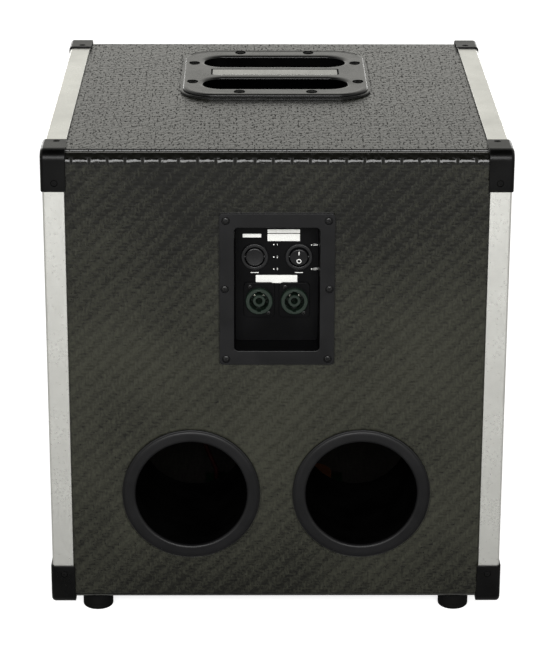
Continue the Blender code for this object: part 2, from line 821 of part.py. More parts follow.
def make_handle():
    """The slotted plate and the pocket under it."""
    slot_offset = (HANDLE_BAR + HANDLE_SLOT_WIDTH) / 2
    slots = [
        rounded_rectangle(
            HANDLE_SLOT_LENGTH,
            HANDLE_SLOT_WIDTH,
            HANDLE_SLOT_CORNER,
            4,
            (0, end * slot_offset),
        )
        for end in (-1, 1)
    ]
    plate = flat_piece(
        "handle_plate",
        [rounded_rectangle(HANDLE_WIDTH, HANDLE_LENGTH, HANDLE_CORNER, 5)] + slots,
        HANDLE_PLATE,
        "handle_black",
        (0, HANDLE_MIDDLE, HANDLE_PLATE_BOTTOM + HANDLE_PLATE / 2),
    )
    label = flat_piece(
        "handle_label_cutter",
        [rounded_rectangle(HANDLE_LABEL_LENGTH, HANDLE_LABEL_WIDTH, HANDLE_LABEL_CORNER, 2)],
        2 * HANDLE_LABEL_DEPTH,
        None,
        (0, HANDLE_MIDDLE, HANDLE_PLATE_BOTTOM + HANDLE_PLATE),
    )
    bevel_top(plate, HANDLE_EDGE, 1)
    cut(plate, as_cutter(label))

    lip_width = HANDLE_WIDTH + 2 * TRAY_LIP
    lip_length = HANDLE_LENGTH + 2 * TRAY_LIP
    lip = rounded_rectangle(lip_width, lip_length, HANDLE_CORNER + TRAY_LIP)
    rings = [
        (lip, 0),
        (tray_mouth(0), 0),
        (tray_mouth(TRAY_DRAFT), -TRAY_DEPTH),
    ]
    shell(
        "handle_tray",
        rings,
        TRAY_SHEET,
        "handle_black",
        (0, HANDLE_MIDDLE, CAB_TOP + GAP + TRAY_SHEET),
        UPRIGHT,
    )


def make_ports():
    outer = PORT_RADIUS + PORT_WALL
    front = GAP + PORT_FLANGE
    profile = arc(
        (PORT_FLANGE_RADIUS - PORT_FLANGE_ROUND, front - PORT_FLANGE_ROUND),
        PORT_FLANGE_ROUND,
        90,
        0,
        2,
    )
    profile += [(PORT_FLANGE_RADIUS, GAP), (outer, GAP)]
    profile += [(outer, front - PORT_LENGTH), (PORT_RADIUS, front - PORT_LENGTH)]
    profile += arc(
        (PORT_RADIUS + PORT_MOUTH_ROUND, front - PORT_MOUTH_ROUND), PORT_MOUTH_ROUND, 180, 90, 2
    )
    for name, side in SIDES:
        place = (side * PORT_SPACING / 2, REAR_FACE, PORT_HEIGHT)
        turned("port_tube_" + name, profile, PORT_STEPS, "moulded_black", place)


def make_dish():
    """The recessed rear plate, with round holes for what it carries."""
    front = GAP + DISH_SHEET
    narrow = 2 * DISH_DRAFT
    rings = [
        (rounded_rectangle(DISH_WIDTH, DISH_HEIGHT, DISH_CORNER, DISH_CORNER_STEPS), front),
        (
            rounded_rectangle(
                DISH_MOUTH_WIDTH, DISH_MOUTH_HEIGHT, DISH_MOUTH_CORNER, DISH_CORNER_STEPS
            ),
            front,
        ),
        (
            rounded_rectangle(
                DISH_MOUTH_WIDTH - narrow,
                DISH_MOUTH_HEIGHT - narrow,
                DISH_MOUTH_CORNER - DISH_DRAFT,
                DISH_CORNER_STEPS,
            ),
            -DISH_DEPTH,
        ),
    ]
    dish = shell(
        "jack_dish",
        rings,
        DISH_SHEET,
        "moulded_black",
        (0, REAR_FACE, DISH_MIDDLE),
        TO_REAR,
    )
    holes = [
        ("socket", SOCKET_SPACING, -SOCKET_BELOW_DISH_CENTRE, SOCKET_RING_RADIUS, SOCKET_STEPS),
        ("switch", SWITCH_SPACING, SWITCH_ABOVE_DISH_CENTRE, SWITCH_BARREL_RADIUS, SWITCH_STEPS),
    ]
    for what, spacing, height, radius, steps in holes:
        for name, side in SIDES:
            place = (side * spacing / 2, DISH_WALL, DISH_MIDDLE + height)
            wide = (radius + GAP) / math.cos(math.pi / steps)
            hole = rod(
                f"{what}_hole_{name}", wide, 4 * DISH_SHEET, steps, None, place, TO_REAR
            )
            cut(dish, as_cutter(hole))


def make_sockets():
    """A flange, a raised ring round an annular well, and the core in the middle of the well."""
    edge = SOCKET_EDGE
    profile = [
        (0, -SOCKET_WELL_DEPTH),
        (SOCKET_CORE_BORE, -SOCKET_WELL_DEPTH),
        (SOCKET_CORE_BORE, SOCKET_CORE_HEIGHT),
        (SOCKET_CORE_RADIUS, SOCKET_CORE_HEIGHT),
        (SOCKET_CORE_RADIUS, -SOCKET_WELL_DEPTH),
        (SOCKET_RING_BORE, -SOCKET_WELL_DEPTH),
        (SOCKET_RING_BORE, SOCKET_RING_HEIGHT),
        (SOCKET_RING_RADIUS - edge, SOCKET_RING_HEIGHT),
        (SOCKET_RING_RADIUS, SOCKET_RING_HEIGHT - edge),
        (SOCKET_RING_RADIUS, -SOCKET_LENGTH),
        (0, -SOCKET_LENGTH),
    ]
    for name, side in SIDES:
        place = (
            side * SOCKET_SPACING / 2,
            DISH_WALL + GAP,
            DISH_MIDDLE - SOCKET_BELOW_DISH_CENTRE,
        )
        socket = turned(
            "speaker_socket_" + name, profile, SOCKET_STEPS, "socket_green", place
        )
        bore = SOCKET_RING_RADIUS - edge
        flange = flat_piece(
            "socket_flange_" + name,
            [
                rounded_rectangle(
                    SOCKET_FLANGE_WIDTH, SOCKET_FLANGE_HEIGHT, SOCKET_FLANGE_CORNER, 2
                ),
                circle(bore, SOCKET_STEPS),
            ],
            SOCKET_FLANGE,
            None,
            (place[0], place[1] + SOCKET_FLANGE / 2, place[2]),
            TO_REAR,
        )
        join(socket, flange)


def make_switches():
    """Round rocker switches: a bezel with a barrel behind it, and a rocker on two pins."""
    top = SWITCH_BEZEL_HEIGHT
    floor = top - SWITCH_WELL_DEPTH
    edge = SWITCH_BEZEL_EDGE
    body_profile = [
        (0, floor),
        (SWITCH_WELL_RADIUS, floor),
        (SWITCH_WELL_RADIUS, top - edge),
        (SWITCH_WELL_RADIUS + edge, top),
        (SWITCH_BEZEL_RADIUS - edge, top),
        (SWITCH_BEZEL_RADIUS, top - edge),
        (SWITCH_BEZEL_RADIUS, 0),
        (SWITCH_BARREL_RADIUS, 0),
        (SWITCH_BARREL_RADIUS, -SWITCH_BARREL_LENGTH),
        (0, -SWITCH_BARREL_LENGTH),
    ]
    half = ROCKER_THICKNESS / 2
    rocker_profile = [
        (0, half),
        (ROCKER_RADIUS - ROCKER_EDGE, half),
        (ROCKER_RADIUS, half - ROCKER_EDGE),
        (ROCKER_RADIUS, -half),
        (0, -half),
    ]
    switches = (("power", -1, POWER_TILT), ("level", 1, 0.0))
    for name, side, tilt in switches:
        place = (
            side * SWITCH_SPACING / 2,
            DISH_WALL + GAP,
            DISH_MIDDLE + SWITCH_ABOVE_DISH_CENTRE,
        )
        pivot = (place[0], place[1] + top + ROCKER_ABOVE_BEZEL - half, place[2])
        pin_length = 2 * (SWITCH_WELL_RADIUS + ROCKER_PIN_ENTRY)
        body = turned(
            name + "_switch_body", body_profile, SWITCH_STEPS, "moulded_black", place
        )
        sockets = rod(
            name + "_pin_cutter",
            (ROCKER_PIN_RADIUS + GAP) / math.cos(math.pi / PIN_STEPS),
            pin_length + 2 * GAP,
            PIN_STEPS,
            None,
            pivot,
            TO_RIGHT,
        )
        cut(body, as_cutter(sockets))
        turn = (TO_REAR[0] - tilt, 0, 0)
        rocker = turned(
            name + "_switch_rocker", rocker_profile, SWITCH_STEPS, "rocker_black", pivot, turn
        )
        pins = rod(
            name + "_rocker_pins", ROCKER_PIN_RADIUS, pin_length, PIN_STEPS, None, pivot, TO_RIGHT
        )
        join(rocker, pins)


def grille_diamonds(width, height):
    """Diamond openings in rows, every other row shifted by half a pitch."""
    half_across = GRILLE_PITCH_ACROSS / 2
    half_up = GRILLE_PITCH_UP / 2
    slope = math.hypot(half_across, half_up)
    shrink = GRILLE_STRAND / 2 * slope
    reach_across = half_across - shrink / half_up
    reach_up = half_up - shrink / half_across
    columns = math.ceil(width / half_across)
    rows = math.ceil(height / half_up)
    found = []
    for row in range(-rows, rows + 1):
        for column in range(-columns, columns + 1):
            if (row + column) % 2:
                continue
            x, y = column * half_across, row * half_up
            if abs(x) + reach_across > width / 2 or abs(y) + reach_up > height / 2:
                continue
            found.append(
                [(x + reach_across, y), (x, y + reach_up), (x - reach_across, y), (x, y - reach_up)]
            )
    return found


def make_grille():
    """Expanded metal with a rim folded back, on two battens."""
    width = 2 * (INNER_SIDE - GRILLE_MARGIN)
    height = INNER_CEILING - INNER_FLOOR - 2 * GRILLE_MARGIN
    outline = rounded_rectangle(width, height, GRILLE_CORNER, 2)
    diamonds = grille_diamonds(width - 2 * GRILLE_BORDER, height - 2 * GRILLE_BORDER)
    grille = flat_piece(
        "front_grille",
        [outline] + diamonds,
        GRILLE_SHEET,
        "grille_steel",
        (0, GRILLE_FRONT + GRILLE_SHEET / 2, CAB_MIDDLE),
        TO_REAR,
    )
    inside = rounded_rectangle(
        width - 2 * GRILLE_SHEET, height - 2 * GRILLE_SHEET, GRILLE_CORNER - GRILLE_SHEET, 2
    )
    rim = flat_piece(
        "grille_rim",
        [outline, inside],
        GRILLE_RIM,
        None,
        (0, GRILLE_FRONT + GRILLE_RIM / 2, CAB_MIDDLE),
        TO_REAR,
    )
    join(grille, rim)

    for name, side in SIDES:
        edges = sorted((side * BATTEN_OUTSIDE, side * (BATTEN_OUTSIDE - BATTEN_WIDTH)))
        block(
            "grille_batten_" + name,
            (edges[0], GRILLE_FRONT + GRILLE_SHEET + GAP, INNER_FLOOR + BATTEN_END_MARGIN),
            (edges[1], BAFFLE_FRONT - GAP, INNER_CEILING - BATTEN_END_MARGIN),
            "plywood",
        )


def woofer_part(name, profile, finish_name, steps=WOOFER_STEPS):
    return turned(name, profile, steps, finish_name, (0, BAFFLE_FRONT, WOOFER_MIDDLE))


def make_basket():
    """The pressed frame, with windows between its spokes."""
    floor = WOOFER_DEPTH - WOOFER_REAR_PLATE
    profile = [
        (WOOFER_REAR_RADIUS, WOOFER_DEPTH),
        (WOOFER_WALL_RADIUS, WOOFER_FLANGE),
        (WOOFER_WALL_RADIUS, -GAP),
        (WOOFER_RADIUS, -GAP),
        (WOOFER_RADIUS, -GAP - WOOFER_FLANGE),
        (WOOFER_LEDGE_RADIUS, -GAP - WOOFER_FLANGE),
        (WOOFER_LEDGE_RADIUS, 0),
        (WOOFER_LEDGE_BORE, 0),
        (WOOFER_LEDGE_BORE, WOOFER_FLANGE / 2),
        (SPIDER_OUTER + GAP, SPIDER_DEPTH),
        (SPIDER_LEDGE, SPIDER_DEPTH),
        (SPIDER_LEDGE, floor),
        (WOOFER_REAR_BORE, floor),
        (WOOFER_REAR_BORE, WOOFER_DEPTH),
    ]
    basket = woofer_part("woofer_basket", profile, "basket_steel")
    windows = []
    half_angle = math.pi / WOOFER_WINDOWS
    window_outer = WOOFER_WALL_RADIUS - WOOFER_WINDOW_BORDER
    for i in range(WOOFER_WINDOWS):
        middle = 2 * half_angle * i
        points = []
        for radius, order in ((WOOFER_WINDOW_INNER, -1), (window_outer, 1)):
            half_width = half_angle - math.asin(WOOFER_SPOKE / 2 / radius)
            for turn in (order * half_width, -order * half_width):
                angle = middle + turn
                points.append((radius * math.cos(angle), radius * math.sin(angle)))
        windows.append(points)
    cutter = flat_piece(
        "basket_window_cutter",
        windows,
        WOOFER_DEPTH,
        None,
        (0, BAFFLE_FRONT + WOOFER_FLANGE / 2 + WOOFER_DEPTH / 2, WOOFER_MIDDLE),
        TO_REAR,
    )
    cut(basket, as_cutter(cutter))


def make_moving_cone():
    """The cone, the dust cap and the voice coil, which travel together."""
    neck = COIL_RADIUS + COIL_WALL + GAP + PAPER
    line = [
        (neck, CONE_NECK_DEPTH),
        (CONE_RADIUS - CONE_RIM, PAPER / 2),
        (CONE_RADIUS, PAPER / 2),
    ]
    woofer_part("woofer_cone", strip(line, PAPER), "cone_paper")

    slope = (CONE_NECK_DEPTH - PAPER / 2) / (CONE_RADIUS - CONE_RIM - neck)
    cap_edge = CONE_NECK_DEPTH - (DUST_CAP_RADIUS - neck) * slope - PAPER - GAP
    steps = 3
    dome = []
    for i in range(steps + 1):
        share = i / steps
        dome.append((DUST_CAP_RADIUS * share, cap_edge - DUST_CAP_RISE * (1 - share**2)))
    woofer_part("woofer_dust_cap", strip(dome, PAPER), "cone_paper", MOTOR_STEPS)

    outer = COIL_RADIUS + COIL_WALL
    coil = [
        (outer, COIL_END_DEPTH),
        (outer, CONE_NECK_DEPTH - 2 * PAPER),
        (COIL_RADIUS, CONE_NECK_DEPTH - 2 * PAPER),
        (COIL_RADIUS, COIL_END_DEPTH),
    ]
    woofer_part("woofer_voice_coil", coil, "copper", MOTOR_STEPS)


def make_suspension():
    """The half-roll surround, its gasket and the corrugated spider."""
    level = -GAP - PAPER / 2
    middle = CONE_RADIUS + ROLL_RADIUS
    line = [(CONE_RADIUS - CONE_RIM, level)]
    line += arc((middle, level), ROLL_RADIUS, 180, 360, ROLL_STEPS)
    line += [(WOOFER_LEDGE_RADIUS - GAP, level)]
    woofer_part("woofer_surround", strip(line, PAPER), "rubber")

    inner = WOOFER_LEDGE_BORE + 2 * GAP
    outer = WOOFER_LEDGE_RADIUS - GAP
    front = -GAP - WOOFER_FLANGE
    gasket = [
        (outer, -PAPER - 3 * GAP),
        (outer, front),
        (inner, front),
        (inner, -PAPER - 3 * GAP),
    ]
    woofer_part("woofer_gasket", gasket, "cone_paper")

    start = COIL_RADIUS + COIL_WALL + GAP
    level = SPIDER_DEPTH - GAP - PAPER / 2
    waves = 4
    stretch = SPIDER_LEDGE - start
    line = []
    for i in range(waves + 1):
        wave = 0 if i in (0, waves) else SPIDER_WAVE / 2 * (-1) ** i
        line.append((start + stretch * i / waves, level + wave))
    line += [(SPIDER_OUTER, level)]
    woofer_part("woofer_spider", strip(line, PAPER), "spider_cloth", MOTOR_STEPS)


def make_magnet():
    """The front plate, the ring magnet and the pole piece behind the basket."""
    front = WOOFER_DEPTH + GAP
    coil_clear = COIL_RADIUS + COIL_WALL + COIL_RUNNING_GAP
    plate_rear = front + FRONT_PLATE
    plate = [
        (FRONT_PLATE_RADIUS, plate_rear),
        (FRONT_PLATE_RADIUS, front),
        (coil_clear, front),
        (coil_clear, plate_rear),
    ]
    woofer_part("woofer_front_plate", plate, "plated_steel", MOTOR_STEPS)

    magnet_front = plate_rear + GAP
    magnet_rear = magnet_front + MAGNET_HEIGHT
    edge = EDGE_BREAK
    magnet = [
        (MAGNET_RADIUS - edge, magnet_rear),
        (MAGNET_RADIUS, magnet_rear - edge),
        (MAGNET_RADIUS, magnet_front + edge),
        (MAGNET_RADIUS - edge, magnet_front),
        (MAGNET_BORE, magnet_front),
        (MAGNET_BORE, magnet_rear),
    ]
    woofer_part("woofer_magnet", magnet, "ferrite", MOTOR_STEPS)

    pole_rear = magnet_rear + GAP + POLE_PLATE
    pole_radius = COIL_RADIUS - COIL_RUNNING_GAP
    pole = [
        (FRONT_PLATE_RADIUS, pole_rear),
        (FRONT_PLATE_RADIUS, pole_rear - POLE_PLATE),
        (pole_radius, pole_rear - POLE_PLATE),
        (pole_radius, front),
        (POLE_VENT_RADIUS, front),
        (POLE_VENT_RADIUS, pole_rear),
    ]
    woofer_part("woofer_pole_piece", pole, "plated_steel", MOTOR_STEPS)


def make_tweeter():
    """A round horn in the upper corner, with its driver behind it."""
    place = (TWEETER_ACROSS, BAFFLE_FRONT, TWEETER_HEIGHT)
    steps = 4
    flare = []
    for i in range(steps + 1):
        share = i / steps
        depth = HORN_DEPTH - (HORN_DEPTH + HORN_FLANGE) * share
        radius = HORN_THROAT * (HORN_MOUTH / HORN_THROAT) ** (share**HORN_FLARE)
        flare.append((radius, depth))
    outside = [(radius + HORN_WALL, depth) for radius, depth in flare if depth > HORN_WALL]
    profile = outside + [
        (HORN_MOUTH + HORN_WALL, -GAP),
        (HORN_RADIUS, -GAP),
        (HORN_RADIUS, -GAP - HORN_FLANGE),
    ]
    profile += [(radius, depth) for radius, depth in reversed(flare)]
    turned("tweeter_horn", profile, MOTOR_STEPS, "moulded_black", place)

    front = HORN_DEPTH + GAP
    rear = front + DRIVER_LENGTH
    edge = EDGE_BREAK
    profile = [
        (0, rear + DRIVER_CAP),
        (DRIVER_CAP_RADIUS, rear + DRIVER_CAP),
        (DRIVER_CAP_RADIUS, rear),
        (DRIVER_RADIUS - edge, rear),
        (DRIVER_RADIUS, rear - edge),
        (DRIVER_RADIUS, front),
        (0, front),
    ]
    turned("tweeter_driver", profile, MOTOR_STEPS, "ferrite", place)


def make_network():
    """The dividing network's board on the cabinet's floor, with its coil and its capacitor."""
    base = INNER_FLOOR + GAP
    sheet_bottom = base + BOARD_STANDOFF
    sheet_top = sheet_bottom + BOARD_SHEET
    half_length, half_width = BOARD_LENGTH / 2, BOARD_WIDTH / 2
    board = block(
        "crossover_board",
        (-half_length, BOARD_FROM_CENTRE - half_width, sheet_bottom),
        (half_length, BOARD_FROM_CENTRE + half_width, sheet_top),
        "circuit_board",
    )
    tall = BOARD_STANDOFF + BOARD_SHEET / 2
    for side_name, side in SIDES:
        for end_name, end in ENDS:
            place = (
                side * (half_length - BOARD_STANDOFF_INSET),
                BOARD_FROM_CENTRE + end * (half_width - BOARD_STANDOFF_INSET),
                base + tall / 2,
            )
            standoff = rod(
                f"standoff_{end_name}_{side_name}",
                BOARD_STANDOFF_RADIUS,
                tall,
                BOARD_STANDOFF_STEPS,
                None,
                place,
                UPRIGHT,
            )
            join(board, standoff)
    top = INDUCTOR_HEIGHT
    profile = [(INDUCTOR_RADIUS, top), (INDUCTOR_RADIUS, 0), (INDUCTOR_BORE, 0)]
    profile += [(INDUCTOR_BORE, top)]
    place = (-half_length / 2, BOARD_FROM_CENTRE, sheet_top + GAP)
    turned("crossover_coil", profile, MOTOR_STEPS, "copper", place, UPRIGHT)
    place = (half_length / 2, BOARD_FROM_CENTRE, sheet_top + GAP + CAPACITOR_RADIUS)
    rod(
        "crossover_capacitor",
        CAPACITOR_RADIUS,
        CAPACITOR_LENGTH,
        CAPACITOR_STEPS,
        "film_yellow",
        place,
        TO_REAR,
    )


def make_leads():
    """Three leads, each held at both ends inside the box."""
    board_top = INNER_FLOOR + GAP + BOARD_STANDOFF + BOARD_SHEET + GAP
    board_front = BOARD_FROM_CENTRE - BOARD_WIDTH / 2 + LEAD_INSET
    board_rear = BOARD_FROM_CENTRE + BOARD_WIDTH / 2 - LEAD_INSET
    forward, back, up = (0, -1, 0), (0, 1, 0), (0, 0, 1)

    socket_rear = DISH_WALL - SOCKET_LENGTH
    socket_height = DISH_MIDDLE - SOCKET_BELOW_DISH_CENTRE
    half_spacing = SOCKET_SPACING / 2
    lead(
        "input_lead",
        (half_spacing, socket_rear, socket_height),
        forward,
        [(half_spacing / 2, board_rear + INPUT_LEAD_BEND, socket_height - INPUT_LEAD_DROP)],
        (0, board_rear, board_top),
        up,
    )
    motor_length = FRONT_PLATE + MAGNET_HEIGHT + POLE_PLATE + 4 * GAP
    motor_rear = BAFFLE_FRONT + WOOFER_DEPTH + motor_length
    beside_vent = (POLE_VENT_RADIUS + FRONT_PLATE_RADIUS) / 2
    lead(
        "woofer_lead",
        (beside_vent, motor_rear, WOOFER_MIDDLE),
        back,
        [(beside_vent, board_front + WOOFER_LEAD_BEND, WOOFER_MIDDLE - WOOFER_LEAD_DROP)],
        (beside_vent, board_front, board_top),
        up,
    )
    driver_rear = BAFFLE_FRONT + HORN_DEPTH + DRIVER_LENGTH + DRIVER_CAP + 2 * GAP
    board_side = BOARD_LENGTH / 2 - LEAD_INSET
    lead(
        "tweeter_lead",
        (TWEETER_ACROSS, driver_rear, TWEETER_HEIGHT),
        back,
        [(TWEETER_ACROSS, driver_rear + TWEETER_LEAD_BEND, WOOFER_MIDDLE)],
        (board_side, board_front + LEAD_INSET, board_top),
        up,
    )


def smooth_round_pieces():
    for obj in PARTS.objects:
        if obj.type == "MESH" and obj.data.polygons:
            obj.data.shade_smooth()
            obj.data.set_sharp_from_angle(angle=SHARP_ANGLE)


def main():
    global PARTS, CUTTERS
    clear_scene()
    PARTS = new_collection("bass_speaker_cabinet")
    CUTTERS = new_collection("cutters")
    make_finishes()
    cutters = [port_cutter(name, side) for name, side in SIDES]
    cutters += [dish_cutter(), tray_cutter()]
    make_box(cutters)
    make_trims()
    make_corners()
    make_feet()
    make_handle()
    make_ports()
    make_dish()
    make_sockets()
    make_switches()
    make_grille()
    make_basket()
    make_moving_cone()
    make_suspension()
    make_magnet()
    make_tweeter()
    make_network()
    make_leads()
    smooth_round_pieces()


main()
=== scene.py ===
"""Looks of the bass speaker cabinet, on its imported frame.

Lengths are in millimetres until a mesh is made. The stage and the camera are in metres.
"""

import math

import bmesh
import bpy
from mathutils import Matrix, Vector


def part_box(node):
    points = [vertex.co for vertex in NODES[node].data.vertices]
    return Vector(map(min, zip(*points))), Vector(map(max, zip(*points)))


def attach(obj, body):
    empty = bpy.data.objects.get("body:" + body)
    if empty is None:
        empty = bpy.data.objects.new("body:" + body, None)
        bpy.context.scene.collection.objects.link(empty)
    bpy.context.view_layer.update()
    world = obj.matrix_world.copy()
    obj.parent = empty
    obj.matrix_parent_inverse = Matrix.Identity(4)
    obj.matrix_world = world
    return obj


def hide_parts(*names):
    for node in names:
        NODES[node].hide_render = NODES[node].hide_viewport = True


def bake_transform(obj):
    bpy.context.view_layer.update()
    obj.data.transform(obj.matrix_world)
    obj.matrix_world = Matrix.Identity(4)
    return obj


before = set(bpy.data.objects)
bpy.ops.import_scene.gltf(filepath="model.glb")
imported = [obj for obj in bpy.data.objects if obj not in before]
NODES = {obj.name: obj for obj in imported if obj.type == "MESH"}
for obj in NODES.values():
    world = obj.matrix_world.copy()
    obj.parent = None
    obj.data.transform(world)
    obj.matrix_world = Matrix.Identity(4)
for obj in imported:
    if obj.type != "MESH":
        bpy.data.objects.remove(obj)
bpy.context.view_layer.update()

MM = 0.001
CAB_HALF_WIDTH = 193.5
CAB_HALF_DEPTH = 200.0
CAB_BOTTOM = 17.0
CAB_TOP = 423.0
CAB_HALF_HEIGHT = (CAB_TOP - CAB_BOTTOM) / 2
CAB_MIDDLE = (CAB_TOP + CAB_BOTTOM) / 2
EDGE_RADIUS = 10.0
TRIM_PROUD = 1.5
CORNER_PROUD = 3.0
FOOT_RADIUS = 13.25
INNER_SIDE = 178.5
INNER_FLOOR = 33.3
INNER_CEILING = 406.7
HANDLE_MIDDLE = -61.5
HANDLE_WIDTH = 166.5
HANDLE_LENGTH = 169.5
HANDLE_CORNER = 30.0
SLOT_LENGTH = 131.0
SLOT_WIDTH = 42.0
SLOT_CORNER = 19.0
SLOT_MIDDLE = 41.25
TRAY_LIP = 2.5
TRAY_WIDTH = 137.0
TRAY_LENGTH = 130.5
TRAY_CORNER = 22.0
TRAY_DRAFT = 6.0
DISH_MIDDLE = 304.5
DISH_WALL = 178.0
PORT_X = 73.5
PORT_Z = 118.0
SOCKET_X = 15.0
SOCKET_Z = 288.0
SWITCH_X = 18.75
SWITCH_Z = 326.3
GRILLE_FRONT = -198.0
BAFFLE_FRONT = -178.0
WOOFER_Z = 191.3
WOOFER_SCREW_CIRCLE = 146.7
TWEETER_SCREW_CIRCLE = 41.3
TOW = 3.8

# Each facing turns a piece's own right, up and outward into the frame's X, Y and Z
REAR = Matrix(((-1, 0, 0), (0, 0, 1), (0, 1, 0)))
TOP = Matrix(((-1, 0, 0), (0, -1, 0), (0, 0, 1)))
FRONT = Matrix(((1, 0, 0), (0, 0, -1), (0, 1, 0)))
LEFT = Matrix(((0, 0, -1), (-1, 0, 0), (0, 1, 0)))
RIGHT = Matrix(((0, 0, 1), (1, 0, 0), (0, 1, 0)))
BELOW = Matrix(((1, 0, 0), (0, -1, 0), (0, 0, -1)))
PLAIN = Matrix.Identity(3)
FINISH = {}


# Mesh making

def arc(centre, radius, start, end, steps):
    points = []
    for i in range(steps + 1):
        angle = math.radians(start + (end - start) * i / steps)
        points.append((centre[0] + radius * math.cos(angle), centre[1] + radius * math.sin(angle)))
    return points


def rounded(width, height, radius, steps=6, centre=(0, 0)):
    across, up = width / 2 - radius, height / 2 - radius
    points = []
    for i, (side, level) in enumerate(((1, 1), (-1, 1), (-1, -1), (1, -1))):
        middle = (centre[0] + side * across, centre[1] + level * up)
        points += arc(middle, radius, 90 * i, 90 * i + 90, steps)
    return points


def circle(radius, steps, start=0):
    """Points evenly spread round a circle, the first at the start angle."""
    return arc((0, 0), radius, start, start + 360 * (steps - 1) / steps, steps - 1)


def skin(work, one, two):
    """A band of faces between two closed rings of vertices."""
    for i in range(len(one)):
        j = (i + 1) % len(one)
        work.faces.new((one[i], one[j], two[j], two[i]))


def revolve(profile, steps):
    """Turns a closed profile of (radius, height) points about the piece's own Z."""
    work = bmesh.new()
    rings = []
    for radius, height in profile:
        count = steps if radius > 1e-6 else 1
        ring = []
        for i in range(count):
            angle = 2 * math.pi * i / count
            ring.append(work.verts.new((radius * math.cos(angle), radius * math.sin(angle), height)))
        rings.append(ring)
    for one, two in zip(rings, rings[1:] + rings[:1]):
        for i in range(steps):
            j = (i + 1) % steps
            quad = [one[i % len(one)], one[j % len(one)], two[j % len(two)], two[i % len(two)]]
            quad = list(dict.fromkeys(quad))
            if len(quad) > 2:
                work.faces.new(quad)
    bmesh.ops.recalc_face_normals(work, faces=work.faces)
    return work


def loft(rings, ends_meet=True):
    """Skins closed outlines of equal point counts; the last joins the first, or both are capped."""
    work = bmesh.new()
    made = [[work.verts.new(point) for point in ring] for ring in rings]
    pairs = list(zip(made, made[1:]))
    if ends_meet:
        pairs.append((made[-1], made[0]))
    else:
        work.faces.new(made[0])
        work.faces.new(made[-1])
    for one, two in pairs:
        skin(work, one, two)
    bmesh.ops.recalc_face_normals(work, faces=work.faces)
    return work


def ring_at(outline, height):
    return [(x, y, height) for x, y in outline]


def outlined(outlines):
    """A flat filled curve; an outline inside another is a hole."""
    curve = bpy.data.curves.new("outline", "CURVE")
    curve.dimensions = "2D"
    curve.fill_mode = "BOTH"
    for outline in outlines:
        spline = curve.splines.new("POLY")
        spline.points.add(len(outline) - 1)
        for point, (x, y) in zip(spline.points, outline):
            point.co = (x, y, 0, 1)
        spline.use_cyclic_u = True
    return curve


def curve_work(curve):
    """The curve as a mesh work; the curve is removed."""
    holder = bpy.data.objects.new("curve", curve)
    work = bmesh.new()
    work.from_mesh(holder.to_mesh())
    holder.to_mesh_clear()
    bpy.data.objects.remove(holder)
    bpy.data.curves.remove(curve)
    return work


def plate(outlines, low, high, edge=0.0, steps=2):
    """A flat piece from outlines, the inner ones as holes, its rims rounded by edge."""
    curve = outlined(outlines)
    curve.extrude = (high - low) / 2 - edge
    curve.bevel_depth = edge
    curve.bevel_resolution = steps
    curve.offset = -edge
    work = curve_work(curve)
    bmesh.ops.remove_doubles(work, verts=work.verts, dist=1e-5)
    shifted(work, 0, 0, (low + high) / 2)
    bmesh.ops.recalc_face_normals(work, faces=work.faces)
    return work


def filled(outlines, height):
    """A flat face with holes, at one height."""
    return shifted(curve_work(outlined(outlines)), 0, 0, height)


def wall(rings):
    """Skins outlines of equal point counts, open at both ends. Each ring is (outline, height)."""
    work = bmesh.new()
    made = [[work.verts.new((x, y, height)) for x, y in outline] for outline, height in rings]
    for one, two in zip(made, made[1:]):
        skin(work, one, two)
    return work


def welded(*works):
    """Joins open skins whose borders meet into one closed shell."""
    whole = merged(*works)
    bmesh.ops.remove_doubles(whole, verts=whole.verts, dist=1e-3)
    bmesh.ops.recalc_face_normals(whole, faces=whole.faces)
    return whole


def box(low, high, edge=0.0):
    work = bmesh.new()
    bmesh.ops.create_cube(work, size=1)
    middle = (Vector(low) + Vector(high)) / 2
    size = Vector(high) - Vector(low)
    for vert in work.verts:
        vert.co = Vector(a * b + c for a, b, c in zip(vert.co, size, middle))
    if edge:
        rounded_off(work, work.edges[:], edge, 2)
    return work


def rounded_off(work, edges, radius, steps):
    bmesh.ops.bevel(work, geom=edges, offset=radius, segments=steps, profile=0.5, affect="EDGES")


def moved(work, matrix):
    bmesh.ops.transform(work, matrix=matrix, verts=work.verts)
    return work


def shifted(work, x, y, z):
    return moved(work, Matrix.Translation((x, y, z)))


def turned(work, degrees, axis="Z"):
    return moved(work, Matrix.Rotation(math.radians(degrees), 4, axis))


def at(place, facing=PLAIN):
    return Matrix.Translation(Vector(place)) @ facing.to_4x4()


def merged(*works):
    """One mesh work from several, which are used up."""
    whole = bmesh.new()
    for work in works:
        mesh = bpy.data.meshes.new("part")
        work.to_mesh(mesh)
        work.free()
        whole.from_mesh(mesh)
        bpy.data.meshes.remove(mesh)
    return whole


def temporary(work):
    mesh = bpy.data.meshes.new("temporary")
    work.to_mesh(mesh)
    work.free()
    holder = bpy.data.objects.new("temporary", mesh)
    bpy.context.scene.collection.objects.link(holder)
    return holder


def evaluated(holder):
    """A mesh work with the holder's modifiers applied; the holder is removed."""
    seen = holder.evaluated_get(bpy.context.evaluated_depsgraph_get())
    mesh = bpy.data.meshes.new_from_object(seen)
    work = bmesh.new()
    work.from_mesh(mesh)
    bpy.data.meshes.remove(mesh)
    bpy.data.objects.remove(holder)
    return work


def carve(work, *tools):
    holder = temporary(work)
    others = [temporary(tool) for tool in tools]
    for other in others:
        modifier = holder.modifiers.new("cut", "BOOLEAN")
        modifier.operation = "DIFFERENCE"
        modifier.solver = "EXACT"
        modifier.object = other
    result = evaluated(holder)
    for other in others:
        bpy.data.objects.remove(other)
    return result


